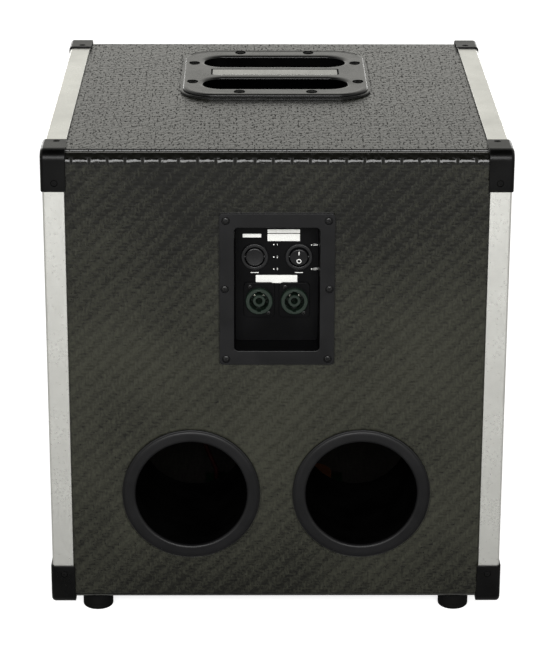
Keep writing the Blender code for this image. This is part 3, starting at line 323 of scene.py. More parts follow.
def softened(work, width, steps, angle):
    """Rounds the edges sharper than angle, in degrees."""
    holder = temporary(work)
    modifier = holder.modifiers.new("round", "BEVEL")
    modifier.width = width
    modifier.segments = steps
    modifier.limit_method = "ANGLE"
    modifier.angle_limit = math.radians(angle)
    modifier.use_clamp_overlap = True
    return evaluated(holder)


def make(
    name, work, finish, matrix=None, body="cabinet", replaces=(), angle=32, even=True, part=None
):
    """Turns a mesh work in millimetres into a piece that rides on a body, or on none yet.

    Part is another finish, and a test that is true of the centres of the faces it is for.
    """
    if matrix is not None:
        moved(work, matrix)
    chosen = [face.index for face in work.faces if part and part[1](face.calc_center_median())]
    moved(work, Matrix.Scale(MM, 4))
    mesh = bpy.data.meshes.new(name)
    work.to_mesh(mesh)
    work.free()
    mesh.materials.clear()
    mesh.materials.append(FINISH[finish])
    mesh.polygons.foreach_set("material_index", [0] * len(mesh.polygons))
    if part:
        mesh.materials.append(FINISH[part[0]])
        for index in chosen:
            mesh.polygons[index].material_index = 1
    mesh.shade_smooth()
    mesh.set_sharp_from_angle(angle=math.radians(angle))
    obj = bpy.data.objects.new(name, mesh)
    bpy.context.scene.collection.objects.link(obj)
    if even:
        modifier = obj.modifiers.new("even_shading", "WEIGHTED_NORMAL")
        modifier.keep_sharp = True
    if body:
        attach(obj, body)
    if replaces:
        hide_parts(*replaces)
    return obj


# Materials

def shade(colour):
    """A colour of three parts, or a grey from one."""
    return colour if isinstance(colour, tuple) else (colour,) * 3


class Nodes:
    """Adds nodes to one tree. An input is a value or the socket it comes from."""

    def __init__(self, tree):
        self.tree = tree

    def add(self, kind, inputs=None, **settings):
        node = self.tree.nodes.new(kind)
        for key, value in settings.items():
            setattr(node, key, value)
        for key, value in (inputs or {}).items():
            if isinstance(value, bpy.types.NodeSocket):
                self.tree.links.new(value, node.inputs[key])
            else:
                node.inputs[key].default_value = value
        return node

    def math(self, operation, *values):
        inputs = dict(enumerate(values))
        return self.add("ShaderNodeMath", inputs, operation=operation).outputs[0]

    def times(self, one, two):
        return self.math("MULTIPLY", one, two)

    def scaled(self, value, scale, base):
        """The base plus the value times scale."""
        return self.math("MULTIPLY_ADD", value, scale, base)

    def apart(self, value, middle):
        """How far a value is from a middle one."""
        return self.math("ABSOLUTE", self.math("SUBTRACT", value, middle))


class Finish(Nodes):
    """One node material. Positions are object coordinates, in metres."""

    def __init__(self, name, roughness=0.5, metallic=0.0, specular=0.5):
        self.material = bpy.data.materials.new(name)
        self.material.use_nodes = True
        super().__init__(self.material.node_tree)
        self.shader = self.tree.nodes["Principled BSDF"]
        self.put("Roughness", roughness)
        self.put("Metallic", metallic)
        self.put("Specular IOR Level", specular)
        self.place = self.add("ShaderNodeTexCoord").outputs["Object"]
        FINISH[name] = self.material

    def put(self, socket, value):
        target = self.shader.inputs[socket]
        if isinstance(value, bpy.types.NodeSocket):
            self.tree.links.new(value, target)
        elif isinstance(value, tuple):
            target.default_value = (*value, 1.0)
        else:
            target.default_value = value

    def noise(self, scale, detail=2.0, vector=None, roughness=0.5, stretch=None):
        vector = vector or self.place
        if stretch:
            mapping = {"Vector": vector, "Scale": stretch}
            vector = self.add("ShaderNodeMapping", mapping).outputs[0]
        inputs = {"Vector": vector, "Scale": scale, "Detail": detail, "Roughness": roughness}
        return self.add("ShaderNodeTexNoise", inputs).outputs["Fac"]

    def spread(self, value, low, high, to_low=0.0, to_high=1.0):
        inputs = {"Value": value, "From Min": low, "From Max": high}
        inputs.update({"To Min": to_low, "To Max": to_high})
        return self.add("ShaderNodeMapRange", inputs).outputs[0]

    def choose(self, factor, one, two):
        inputs = {"Factor": factor, "A": one, "B": two}
        return self.add("ShaderNodeMix", inputs, data_type="FLOAT").outputs[0]

    def blend(self, factor, one, two):
        node = self.add("ShaderNodeMix", data_type="RGBA")
        for socket, value in (("Factor", factor), ("A", one), ("B", two)):
            target = [s for s in node.inputs if s.name == socket and s.enabled][0]
            if isinstance(value, bpy.types.NodeSocket):
                self.tree.links.new(value, target)
            else:
                target.default_value = value if socket == "Factor" else (*shade(value), 1.0)
        return [s for s in node.outputs if s.enabled][0]

    def coloured(self, value, low, high, one, two):
        """The base colour goes from one to two as the value goes from low to high."""
        self.put("Base Color", self.blend(self.spread(value, low, high), one, two))

    def roughened(self, value, low, high):
        self.put("Roughness", self.spread(value, 0.3, 0.7, low, high))

    def raised(self, height, distance, strength=1.0):
        """A bump whose distance is in millimetres."""
        inputs = {"Height": height, "Distance": distance * MM, "Strength": strength}
        self.put("Normal", self.add("ShaderNodeBump", inputs).outputs[0])

    def axes(self, vector=None):
        return self.add("ShaderNodeSeparateXYZ", {0: vector or self.place}).outputs

    def edge_wear_and_highlight(self):
        """Near 1 along convex edges, 0 on flat faces."""
        node = self.add("ShaderNodeBevel", {"Radius": 0.6 * MM}, samples=4)
        flat = self.add("ShaderNodeNewGeometry").outputs["Normal"]
        dot = self.add("ShaderNodeVectorMath", {0: node.outputs[0], 1: flat}, operation="DOT_PRODUCT")
        return self.spread(dot.outputs["Value"], 0.98, 0.85)


def weave(f, across, along):
    """A 2/2 twill: which tow is on top, how far off its middle, how far along its float."""
    column, row = f.math("FLOOR", across), f.math("FLOOR", along)
    phase = f.math("FLOORED_MODULO", f.math("ADD", column, row), 4.0)
    upright = f.math("LESS_THAN", phase, 1.5)
    in_column = f.math("SUBTRACT", f.math("FRACT", across), 0.5)
    in_row = f.math("SUBTRACT", f.math("FRACT", along), 0.5)
    off_middle = f.choose(upright, in_row, in_column)
    up_float = f.math("FLOORED_MODULO", f.math("ADD", column, along), 4.0)
    cross_float = f.math("FLOORED_MODULO", f.math("ADD", across, row), 4.0)
    floated = f.choose(upright, f.math("SUBTRACT", cross_float, 2.0), up_float)
    return upright, off_middle, f.math("MULTIPLY", floated, 0.5)


def covering(name, u_axis=None, v_axis=None):
    """Clear skin over carbon-look twill, with bulging tows, a soft wave from band to band,
    and pores and short dark creases between tows, partly painted shade. Painted shade also
    darkens the seam and the roll of the rear top edge, and painted light brightens the rear's middle
    height."""
    f = Finish(name, specular=0.26)
    if u_axis is None:
        sheet = f.add("ShaderNodeAttribute", attribute_name="weave").outputs["Vector"]
    else:
        pair = {0: f.axes()[u_axis], 1: f.axes()[v_axis]}
        sheet = f.add("ShaderNodeCombineXYZ", pair).outputs[0]
    across = f.math("DIVIDE", f.axes(sheet)[0], TOW * MM)
    along = f.math("DIVIDE", f.axes(sheet)[1], TOW * MM)
    upright, off_middle, floated = weave(f, across, along)
    place = f.math("DIVIDE", f.axes(sheet)[1], MM)
    wraps = u_axis is None

    def around(middle, reach):
        """1 within reach of a line across the wrapped sheet, and 0 on a side panel."""
        return f.math("LESS_THAN", f.apart(place, middle), reach) if wraps else 0.0

    on_top = f.math("GREATER_THAN", place, CAB_TOP + 4) if wraps else 0.0
    on_roll, at_glint, at_seam = around(421.0, 8.0), around(415.6, 3.0), around(429.8, 1.8)

    square = f.math("MULTIPLY", off_middle, off_middle)
    bulge = f.math("SUBTRACT", 1.0, f.math("MULTIPLY", square, 4.0))
    arch = f.math("SINE", f.math("MULTIPLY", floated, math.pi))
    bands = f.math("SINE", f.math("MULTIPLY", f.math("ADD", across, along), math.pi / 2))
    speck = f.noise(800.0, 3.0, sheet, roughness=0.6)
    pebble = f.noise(380.0, 2.0, sheet)
    drift = f.noise(9.0, 4.0, sheet, roughness=0.6)

    # Creases lie on the lines between tows where a slow noise is high; their dark colour is partly
    # painted shade
    gap_up = f.apart(f.math("FRACT", f.times(across, 0.5)), 0.5)
    gap_cross = f.apart(f.math("FRACT", f.times(along, 0.5)), 0.5)
    near_up, near_cross = f.spread(gap_up, 0.09, 0.03), f.spread(gap_cross, 0.16, 0.06)
    chance_up = f.spread(f.noise(1.0, 1.0, sheet, stretch=(600.0, 210.0, 1.0)), 0.56, 0.61)
    chance_cross = f.spread(f.noise(1.0, 1.0, sheet, stretch=(300.0, 700.0, 1.0)), 0.54, 0.59)
    crease_up = f.math("MULTIPLY", near_up, chance_up)
    crease_and_shade = f.math("MAXIMUM", crease_up, f.math("MULTIPLY", near_cross, chance_cross))
    pore = f.spread(f.noise(1.0, 2.0, sheet, stretch=(560.0, 180.0, 1.0)), 0.56, 0.62)
    crease_and_shade = f.math("MAXIMUM", crease_and_shade, f.math("MULTIPLY", pore, 0.9))
    # Painted shade: creases and pores are much darker on the top than elsewhere
    crease_and_shade = f.math("MULTIPLY", crease_and_shade, f.choose(on_top, 0.10, 0.9))
    # Painted shade: a dark line on the top just in front of the seam step
    crease_and_shade = f.math("MAXIMUM", crease_and_shade, at_seam)

    # Painted light: the skin is lightest at half the rear's height and darker above and below it
    off_centre = f.apart(place, 180.0)
    mottle = f.noise(420.0, 3.0, sheet, roughness=0.65)
    # Threads run along the tow that lies on top
    thread_up = f.noise(1.0, 2.0, sheet, stretch=(640.0, 150.0, 1.0))
    thread_cross = f.noise(1.0, 2.0, sheet, stretch=(150.0, 640.0, 1.0))
    threads = f.choose(upright, thread_cross, thread_up)
    tone = f.spread(off_centre, 50.0, 190.0, 0.68, 0.10)
    tone = f.scaled(upright, 0.13, tone)
    tone = f.scaled(bands, 0.06, tone)
    for noise, weight in ((mottle, 1.3), (threads, 1.2), (drift, 1.3)):
        tone = f.scaled(f.math("SUBTRACT", noise, 0.5), weight, tone)
    # Painted shade: the skin on the roll of the rear top edge is darkened to near black
    tone = f.scaled(on_roll, -1.5, tone)
    colour = f.blend(tone, (0.0015, 0.0015, 0.0008), (0.0230, 0.0235, 0.0165))
    # Creases, pores and the seam line take a near-black colour, partly painted shade
    f.put("Base Color", f.blend(crease_and_shade, colour, (0.001, 0.001, 0.0005)))

    # In millimetres
    height = f.times(f.times(bulge, arch), 0.08)
    for value, rise in ((bands, 0.03), (pebble, 0.14), (speck, 0.03), (crease_and_shade, -0.05)):
        height = f.scaled(value, rise, height)
    f.raised(height, 1.0)
    # On the roll the skin is dull between floats, so that its highlight is broken
    floats = f.math("SINE", f.scaled(across, math.pi / 2, f.math("MULTIPLY", drift, 6.0)))
    dull = f.math("MULTIPLY", f.spread(floats, -0.80, -0.93), at_glint)
    gloss = f.scaled(at_glint, -0.04, f.spread(speck, 0.3, 0.7, 0.13, 0.24))
    rough = f.math("MAXIMUM", gloss, f.math("MULTIPLY", dull, 0.85))
    f.put("Roughness", f.math("MAXIMUM", rough, f.times(crease_and_shade, 0.95)))


def moulded(name, colour, roughness, grain, bump, specular=0.2, worn_and_highlight=0.02):
    """Moulded plastic: fine spark-eroded grain, a little dust, edges lighter by wear and painted
    highlight.
    """
    f = Finish(name, specular=specular)
    fine = f.noise(grain, 3.0)
    cloud = f.noise(35.0, 3.0)
    lighter = tuple(1.4 * c + 0.0008 for c in shade(colour))
    base = f.blend(f.spread(cloud, 0.35, 0.7), colour, lighter)
    # Convex edges take the lighter colour: partly wear, partly painted highlight
    f.put("Base Color", f.blend(f.times(f.edge_wear_and_highlight(), 0.35), base, worn_and_highlight))
    mixed = f.scaled(fine, 0.5, f.times(cloud, 0.5))
    f.put("Roughness", f.spread(mixed, 0.35, 0.65, roughness - 0.06, roughness + 0.08))
    f.raised(fine, bump, 0.6)


def metal(name, colour, roughness, brush=None, bump=0.01, tint=None):
    """Bare metal with fine drawn lines along one axis and slight stains."""
    f = Finish(name, metallic=1.0)
    lines = f.noise(1.0, 3.0, stretch=brush or (900.0, 900.0, 900.0))
    cloud = f.noise(25.0, 4.0)
    darker = tint or tuple(0.82 * c for c in colour)
    f.coloured(cloud, 0.35, 0.75, colour, darker)
    mixed = f.scaled(lines, 0.6, f.times(cloud, 0.4))
    f.roughened(mixed, roughness - 0.07, roughness + 0.10)
    f.raised(lines, bump, 0.5)


def make_materials():
    covering("covering")
    covering("covering_side", 1, 2)
    moulded("corner_black", 0.0006, 0.32, 1500.0, 0.02, 0.10, 0.005)
    moulded("moulded_black", (0.0018, 0.0018, 0.0021), 0.40, 1300.0, 0.04, 0.17, 0.010)
    # A darker, duller copy of the moulded black for the dish recess and the socket flanges in it:
    # painted shade
    moulded("recess_shaded_black", (0.0010, 0.0010, 0.0012), 0.34, 1300.0, 0.03, 0.06, 0.004)
    # Near black and almost without shine, for the port bores and the handle's pocket: painted shade
    moulded("bore_shaded_black", 0.0003, 0.85, 700.0, 0.08, 0.01, 0.0006)
    moulded("socket_green", (0.005, 0.010, 0.0065), 0.30, 1500.0, 0.02, 0.30, (0.03, 0.05, 0.04))
    moulded("rocker_black", (0.003, 0.003, 0.0034), 0.30, 420.0, 0.10, 0.25, 0.012)
    # Black rubber, darkened further as painted shade for the feet under the cabinet
    moulded("rubber", (0.0012, 0.0012, 0.0011), 0.75, 900.0, 0.06, 0.06, 0.004)
    moulded("driver_black", (0.018, 0.018, 0.019), 0.55, 900.0, 0.03)
    moulded("handle_black", 0.003, 0.22, 450.0, 0.015, 0.22)
    # Dull black for screws, and painted shade on the handle's notches, label floor and far roll
    moulded("screw_dull_and_shade", 0.001, 0.70, 700.0, 0.10, 0.08, 0.012)
    moulded("screw_black", 0.002, 0.24, 1200.0, 0.01, 0.30, 0.03)
    moulded("grille_steel", 0.008, 0.42, 1100.0, 0.03, 0.4, 0.04)
    moulded("basket_steel", (0.012, 0.012, 0.013), 0.42, 900.0, 0.03, 0.4)
    moulded("gasket_foam", 0.010, 0.9, 600.0, 0.15, 0.2, 0.03)
    metal("aluminium", (0.66, 0.66, 0.63), 0.30, (500.0, 500.0, 500.0), 0.006)
    metal("aluminium_label", (0.25, 0.25, 0.24), 0.24, (900.0, 60.0, 900.0), 0.004)
    metal("plated_steel", (0.55, 0.55, 0.52), 0.34, (60.0, 900.0, 60.0), 0.006, (0.42, 0.42, 0.36))
    metal("metal_contact", (0.55, 0.53, 0.48), 0.28)

    f = Finish("label_white", roughness=0.45, specular=0.4)
    fibre = f.noise(1100.0, 3.0)
    f.coloured(fibre, 0.3, 0.7, (0.62, 0.62, 0.60), (0.50, 0.50, 0.48))
    f.raised(fibre, 0.02, 0.4)
    f.roughened(fibre, 0.38, 0.52)

    f = Finish("print_white", roughness=0.55, specular=0.3)
    ink = f.noise(2500.0, 2.0)
    f.coloured(ink, 0.3, 0.6, (0.45, 0.45, 0.44), (0.72, 0.72, 0.70))
    f.raised(ink, 0.01, 0.4)

    f = Finish("cone_paper", roughness=0.9, specular=0.2)
    fibre = f.noise(420.0, 5.0, roughness=0.7)
    cloud = f.noise(30.0, 3.0)
    tone = f.scaled(cloud, 0.4, f.times(fibre, 0.6))
    f.coloured(tone, 0.35, 0.65, (0.012, 0.012, 0.011), (0.05, 0.048, 0.044))
    f.raised(fibre, 0.25, 0.7)

    f = Finish("dust_cap", roughness=0.55, specular=0.4)
    fibre = f.noise(260.0, 4.0)
    f.coloured(fibre, 0.35, 0.65, 0.012, (0.03, 0.03, 0.029))
    f.raised(fibre, 0.10, 0.5)
    f.roughened(fibre, 0.42, 0.62)

    # Plywood darkened nearly black: the baffle's black paint, and painted shade on the inside faces seen
    # through the ports
    f = Finish("plywood", roughness=0.7, specular=0.2)
    grain = f.noise(1.0, 5.0, stretch=(420.0, 40.0, 40.0), roughness=0.65)
    roll = f.noise(500.0, 3.0)
    f.coloured(grain, 0.35, 0.7, (0.008, 0.007, 0.006), (0.024, 0.021, 0.018))
    f.raised(f.scaled(roll, 0.5, grain), 0.12, 0.5)
    f.roughened(roll, 0.62, 0.84)

    f = Finish("spider_cloth", roughness=0.85, specular=0.2)
    cells = f.add("ShaderNodeTexVoronoi", {"Vector": f.place, "Scale": 1100.0})
    f.coloured(f.noise(60.0, 3.0), 0.3, 0.7, (0.42, 0.27, 0.09), (0.28, 0.16, 0.05))
    f.raised(cells.outputs["Distance"], 0.12, 0.7)

    f = Finish("ferrite", roughness=0.72, specular=0.4)
    pits = f.noise(700.0, 4.0)
    f.coloured(f.noise(22.0, 3.0), 0.3, 0.7, (0.025, 0.025, 0.027), (0.05, 0.048, 0.046))
    f.raised(pits, 0.10, 0.6)
    f.roughened(pits, 0.6, 0.82)

    f = Finish("circuit_board", roughness=0.4, specular=0.15)
    copper = f.noise(90.0, 0.0)
    track = f.spread(copper, 0.50, 0.52)
    f.put("Base Color", f.blend(track, (0.0010, 0.0050, 0.0020), (0.0020, 0.0090, 0.0035)))
    f.raised(track, 0.04, 0.6)
    f.roughened(f.noise(800.0), 0.34, 0.5)

    f = Finish("copper", roughness=0.3, metallic=1.0)
    wire = 0.9 * MM
    _, y, z = f.axes()
    turns = f.math("SINE", f.times(f.math("ADD", z, f.times(y, 0.7)), 2 * math.pi / wire))
    f.put("Base Color", f.blend(f.noise(40.0, 3.0), (0.62, 0.24, 0.10), (0.36, 0.13, 0.05)))
    f.raised(turns, 0.2, 0.8)
    f.put("Roughness", f.spread(turns, -1.0, 1.0, 0.42, 0.24))

    f = Finish("film_yellow", roughness=0.35, specular=0.5)
    wrinkles = f.noise(1.0, 3.0, stretch=(300.0, 60.0, 300.0))
    f.coloured(wrinkles, 0.3, 0.7, (0.62, 0.42, 0.05), (0.48, 0.30, 0.03))
    f.raised(wrinkles, 0.2, 0.5)
    f.roughened(wrinkles, 0.26, 0.42)

    # Red leads darkened nearly black: painted shade on the inside seen through the ports
    f = Finish("lead_red", roughness=0.7, specular=0.03)
    dust = f.noise(150.0, 4.0)
    f.coloured(dust, 0.35, 0.7, (0.0070, 0.0004, 0.0003), (0.0045, 0.0004, 0.0003))
    f.raised(f.noise(700.0, 2.0), 0.03, 0.5)
    f.roughened(dust, 0.62, 0.82)


# Fasteners

def cross_cutter(radius, depth):
    """A Phillips recess, tapering inward."""
    works = []
    half = 0.17 * radius
    for turn in (0, 90):
        reach = 0.62 * radius
        top = [(-reach, -half, 1), (reach, -half, 1), (reach, half, 1), (-reach, half, 1)]
        low = 0.45 * reach
        deep = [(-low, -half, -depth), (low, -half, -depth), (low, half, -depth), (-low, half, -depth)]
        works.append(turned(loft([top, deep], False), turn))
    return works


def screw(radius, dome=0.0, sink=0.0, turn=0.0):
    """A Phillips head, domed or flat, its rim level with Z 0 and sink below it."""
    if dome:
        profile = [(0, dome)]
        for i in range(1, 7):
            share = i / 6
            profile.append((radius * share, dome * math.sqrt(max(0.0, 1 - share**2.4))))
    else:
        profile = [(0, 0), (radius * 0.93, 0), (radius, -0.07 * radius)]
    profile += [(radius, -0.3 * radius - 0.2), (0, -0.3 * radius - 0.2)]
    work = shifted(revolve(profile, 28), 0, 0, -sink)
    cutters = cross_cutter(radius, 0.45 * radius + sink)
    work = carve(work, *[shifted(cutter, 0, 0, dome * 0.3) for cutter in cutters])
    return turned(work, turn)


def screws(name, places, facing, radius, dome, finish="screw_black"):
    works = []
    for i, place in enumerate(places):
        turn = (37 * i + 19) % 90
        works.append(moved(screw(radius, dome, 0.0, turn), at(place, facing)))
    make(name, merged(*works), finish)


# The cabinet

def side_outline(inset, steps=14):
    """The cabinet's outline seen from its right side, as (Y, Z) points."""
    width = 2 * (CAB_HALF_DEPTH - inset)
    height = 2 * (CAB_HALF_HEIGHT - inset)
    return rounded(width, height, EDGE_RADIUS - inset, steps, (0, CAB_MIDDLE))


def along_outline(y, z):
    """How far along the covering's sheet a point lies, from the top's front edge over the rear."""
    flat_y, flat_z = CAB_HALF_DEPTH - EDGE_RADIUS, CAB_TOP - EDGE_RADIUS
    low_z = CAB_BOTTOM + EDGE_RADIUS
    quarter = EDGE_RADIUS * math.pi / 2
    if y > flat_y and z > flat_z:
        angle = math.atan2(y - flat_y, z - flat_z)
        return flat_z + quarter - EDGE_RADIUS * angle
    if y > flat_y and z < low_z:
        angle = math.atan2(y - flat_y, low_z - z)
        return low_z - quarter + EDGE_RADIUS * angle
    if abs(y) <= flat_y:
        if z > flat_z - 5:
            return flat_z + quarter + (flat_y - y)
        return low_z - quarter - (flat_y - y)
    return z


def make_covering():
    """One sheet wrapped round the four long faces, its ends lapped by the roll at the rear top edge."""
    steps = 14
    seam = arc((CAB_HALF_DEPTH - EDGE_RADIUS, CAB_TOP - EDGE_RADIUS), EDGE_RADIUS, 0, 30, 6)
    seam += arc((195.48, CAB_TOP - 0.8 - 1.2), 1.2, 30, 90, 4)
    seam += [(191.2, CAB_TOP - 0.8), (191.0, CAB_TOP - 0.7), (190.8, CAB_TOP - 0.1), (190.6, CAB_TOP)]
    outer = seam + side_outline(0, steps)[steps + 1:]
    inner = side_outline(1.0, steps)
    lengthwise = Matrix(((0, 0, 1), (1, 0, 0), (0, 1, 0))).to_4x4()
    sheet = moved(plate([outer, inner], -CAB_HALF_WIDTH, CAB_HALF_WIDTH), lengthwise)
    tools = [box((-INNER_SIDE, -250, INNER_FLOOR), (INNER_SIDE, -150, INNER_CEILING))]
    # Narrow gaps beside the trims, round the ports and round the dish
    for side in (-1, 1):
        gap = plate([side_outline(-0.5, steps), side_outline(0.85, steps)], -0.7, 0.7)
        tools.append(shifted(moved(gap, lengthwise), side * 176.2, 0, 0))
        gap = plate([circle(60.9, 96), circle(58.9, 96)], -0.85, 2)
        tools.append(moved(gap, at((side * PORT_X, CAB_HALF_DEPTH, PORT_Z), REAR)))
    gap = plate([rounded(98.6, 136.6, 3.6), rounded(96.4, 132.0, 2.6)], -0.85, 2)
    tools.append(moved(gap, at((0, CAB_HALF_DEPTH, DISH_MIDDLE + 0.9), REAR)))
    around = (HANDLE_WIDTH + 2 * TRAY_LIP, HANDLE_LENGTH + 2 * TRAY_LIP, HANDLE_CORNER + TRAY_LIP)
    gap = plate([rounded(around[0] + 2.8, around[1] + 2.8, around[2] + 1.4, 12),
                 rounded(around[0] - 2.0, around[1] - 2.0, around[2] - 1.0, 12)], -0.85, 2)
    tools.append(moved(gap, at((0, HANDLE_MIDDLE, CAB_TOP), TOP)))
    for side in (-1, 1):
        cutter = plate([circle(51.5, 96)], -40, 40)
        tools.append(moved(cutter, at((side * PORT_X, CAB_HALF_DEPTH, PORT_Z), REAR)))
    cutter = plate([rounded(78.0, 115.5, 5.0)], -40, 40)
    tools.append(moved(cutter, at((0, CAB_HALF_DEPTH, DISH_MIDDLE), REAR)))
    cutter = plate([rounded(TRAY_WIDTH + 5.8, TRAY_LENGTH + 5.8, TRAY_CORNER + 2.9)], -40, 40)
    tools.append(moved(cutter, at((0, HANDLE_MIDDLE, CAB_TOP), TOP)))
    sheet = carve(sheet, *tools)
    obj = make("covering_sheet", sheet, "covering", replaces=("carbon_wrap",))
    values = obj.data.attributes.new("weave", "FLOAT_VECTOR", "POINT")
    for vert, value in zip(obj.data.vertices, values.data):
        x, y, z = vert.co / MM
        value.vector = Vector((x, along_outline(y, z), 0)) * MM


def make_trims():
    """L profiles with softly broken edges."""
    leg, thick = 18.2, 1.2
    line = arc((-2, -2), 2, 0, 90, 6)
    line += arc((-leg + 0.4, -0.4), 0.4, 90, 180, 3)
    line += [(-leg, -thick), (-thick - 0.5, -thick), (-thick, -thick - 0.5), (-thick, -leg)]
    line += arc((-0.4, -leg + 0.4), 0.4, 270, 360, 3)
    for name in list(NODES):
        if not name.startswith("trim_"):
            continue
        low, high = (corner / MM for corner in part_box(name))
        middle = (low + high) / 2
        side = 1 if middle.x > 0 else -1
        place = Vector((side * (CAB_HALF_WIDTH + TRIM_PROUD), 0, 0))
        if name.startswith(("trim_rear", "trim_front")):
            end = 1 if middle.y > 0 else -1
            work = plate([[(side * x, end * y) for x, y in line]], low.z, high.z)
            place.y = end * (CAB_HALF_DEPTH + TRIM_PROUD)
        else:
            level = 1 if middle.z > CAB_MIDDLE else -1
            work = plate([[(side * x, level * y) for x, y in line]], low.y, high.y)
            # Own X, Y and Z become the frame's X, Z and Y
            moved(work, Matrix(((1, 0, 0, 0), (0, 0, 1, 0), (0, 1, 0, 0), (0, 0, 0, 1))))
            bmesh.ops.reverse_faces(work, faces=work.faces)
            place.z = CAB_MIDDLE + level * (CAB_HALF_HEIGHT + TRIM_PROUD)
        make(name + "_profile", work, "aluminium", at(place), replaces=(name,), angle=40)


def corner_work(grow, edge_radius, end_radius, low):
    """A block up to the cabinet's outer corner, in the octant +X +Y +Z of its middle."""
    high = Vector((CAB_HALF_WIDTH, CAB_HALF_DEPTH, CAB_HALF_HEIGHT)) + Vector((grow, grow, grow))
    work = box(low, high)
    along_x = [
        edge
        for edge in work.edges
        if all(v.co.y > high.y - 0.1 and v.co.z > high.z - 0.1 for v in edge.verts)
    ]
    rounded_off(work, along_x, edge_radius, 12)
    ends = [
        edge
        for edge in work.edges
        if all(v.co.x > high.x - 0.1 for v in edge.verts)
        and not all(v.co.y < low[1] + 0.1 for v in edge.verts)
        and not all(v.co.z < low[2] + 0.1 for v in edge.verts)
    ]
    rounded_off(work, ends, end_radius, 6)
    return work


def make_corners():
    low = Vector((175.5, 167.0, 170.0))
    work = corner_work(CORNER_PROUD, EDGE_RADIUS - 1, 3.4, low)
    inner = corner_work(1.8, EDGE_RADIUS + 1.8, 1.2, low - Vector((36, 36, 36)))
    work = carve(work, inner)
    chamfer = turned(box((-40, -7.071, -7.071), (40, 7.071, 7.071)), 45, "X")
    work = carve(work, shifted(chamfer, CAB_HALF_WIDTH + CORNER_PROUD, low.y, low.z))
    work = softened(work, 0.55, 3, 40)
    wells = []
    heads = ((184.9, 203.0, 177.6, REAR), (184.2, 173.5, 206.0, TOP), (196.5, 178.0, 181.0, RIGHT))
    for x, y, z, facing in heads:
        well = revolve([(0, 1), (3.0, 1), (3.0, 0), (2.5, -0.75), (0, -0.75)], 32)
        wells.append(moved(well, at((x, y, z), facing)))
    work = carve(work, *wells)
    pattern = bpy.data.meshes.new("corner")
    work.to_mesh(pattern)
    work.free()
    for name in list(NODES):
        if not name.startswith("corner_"):
            continue
        end = 1 if "rear" in name else -1
        side = 1 if "right" in name else -1
        level = 1 if "top" in name else -1
        mirror = Matrix.Diagonal((side, end, level, 1))
        work = bmesh.new()
        work.from_mesh(pattern)
        moved(work, mirror)
        if side * end * level < 0:
            bmesh.ops.reverse_faces(work, faces=work.faces)
        place = at((0, 0, CAB_MIDDLE))
        make(name + "_moulding", work, "corner_black", place, replaces=(name,), angle=35)
        faces = (REAR if end > 0 else FRONT, TOP if level > 0 else BELOW, RIGHT if side > 0 else LEFT)
        works = []
        for i, ((x, y, z, _), facing) in enumerate(zip(heads, faces)):
            spot = Vector((side * x, end * y, CAB_MIDDLE + level * z))
            head = screw(2.35, 0.0, 0.15, 31 * i + 12 * (side + 2 * end + 4 * level))
            works.append(moved(head, at(spot, facing)))
        make(name + "_screws", merged(*works), "screw_dull_and_shade")
    bpy.data.meshes.remove(pattern)


def make_feet():
    """Turned feet with a groove near the top and a washer and screw in the recess below."""
    radius, groove, rim = FOOT_RADIUS, FOOT_RADIUS - 0.5, 2.2
    profile = [(0, 16.7), (radius, 16.7)]
    profile += [(radius, 14.6), (groove, 14.3), (groove, 13.9), (radius, 13.6), (radius, rim)]
    profile += arc((radius - rim, rim), rim, 0, -90, 6)[1:]
    profile += [(6.2, 0), (5.5, 0.7), (5.5, 9), (0, 9)]
    for name in list(NODES):
        if not name.startswith("foot_"):
            continue
        low, high = (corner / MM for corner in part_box(name))
        middle = ((low.x + high.x) / 2, (low.y + high.y) / 2, 0)
        make(name + "_rubber", revolve(profile, 64), "rubber", at(middle), replaces=(name,))
        washer = revolve([(5.2, 8.9), (5.2, 8.2), (2.0, 8.2), (2.0, 8.9)], 40)
        head = moved(screw(4.0, 1.6, 0, 20), at((0, 0, 8.0), BELOW))
        make(name + "_screw", merged(washer, head), "plated_steel", at(middle))


# The handle

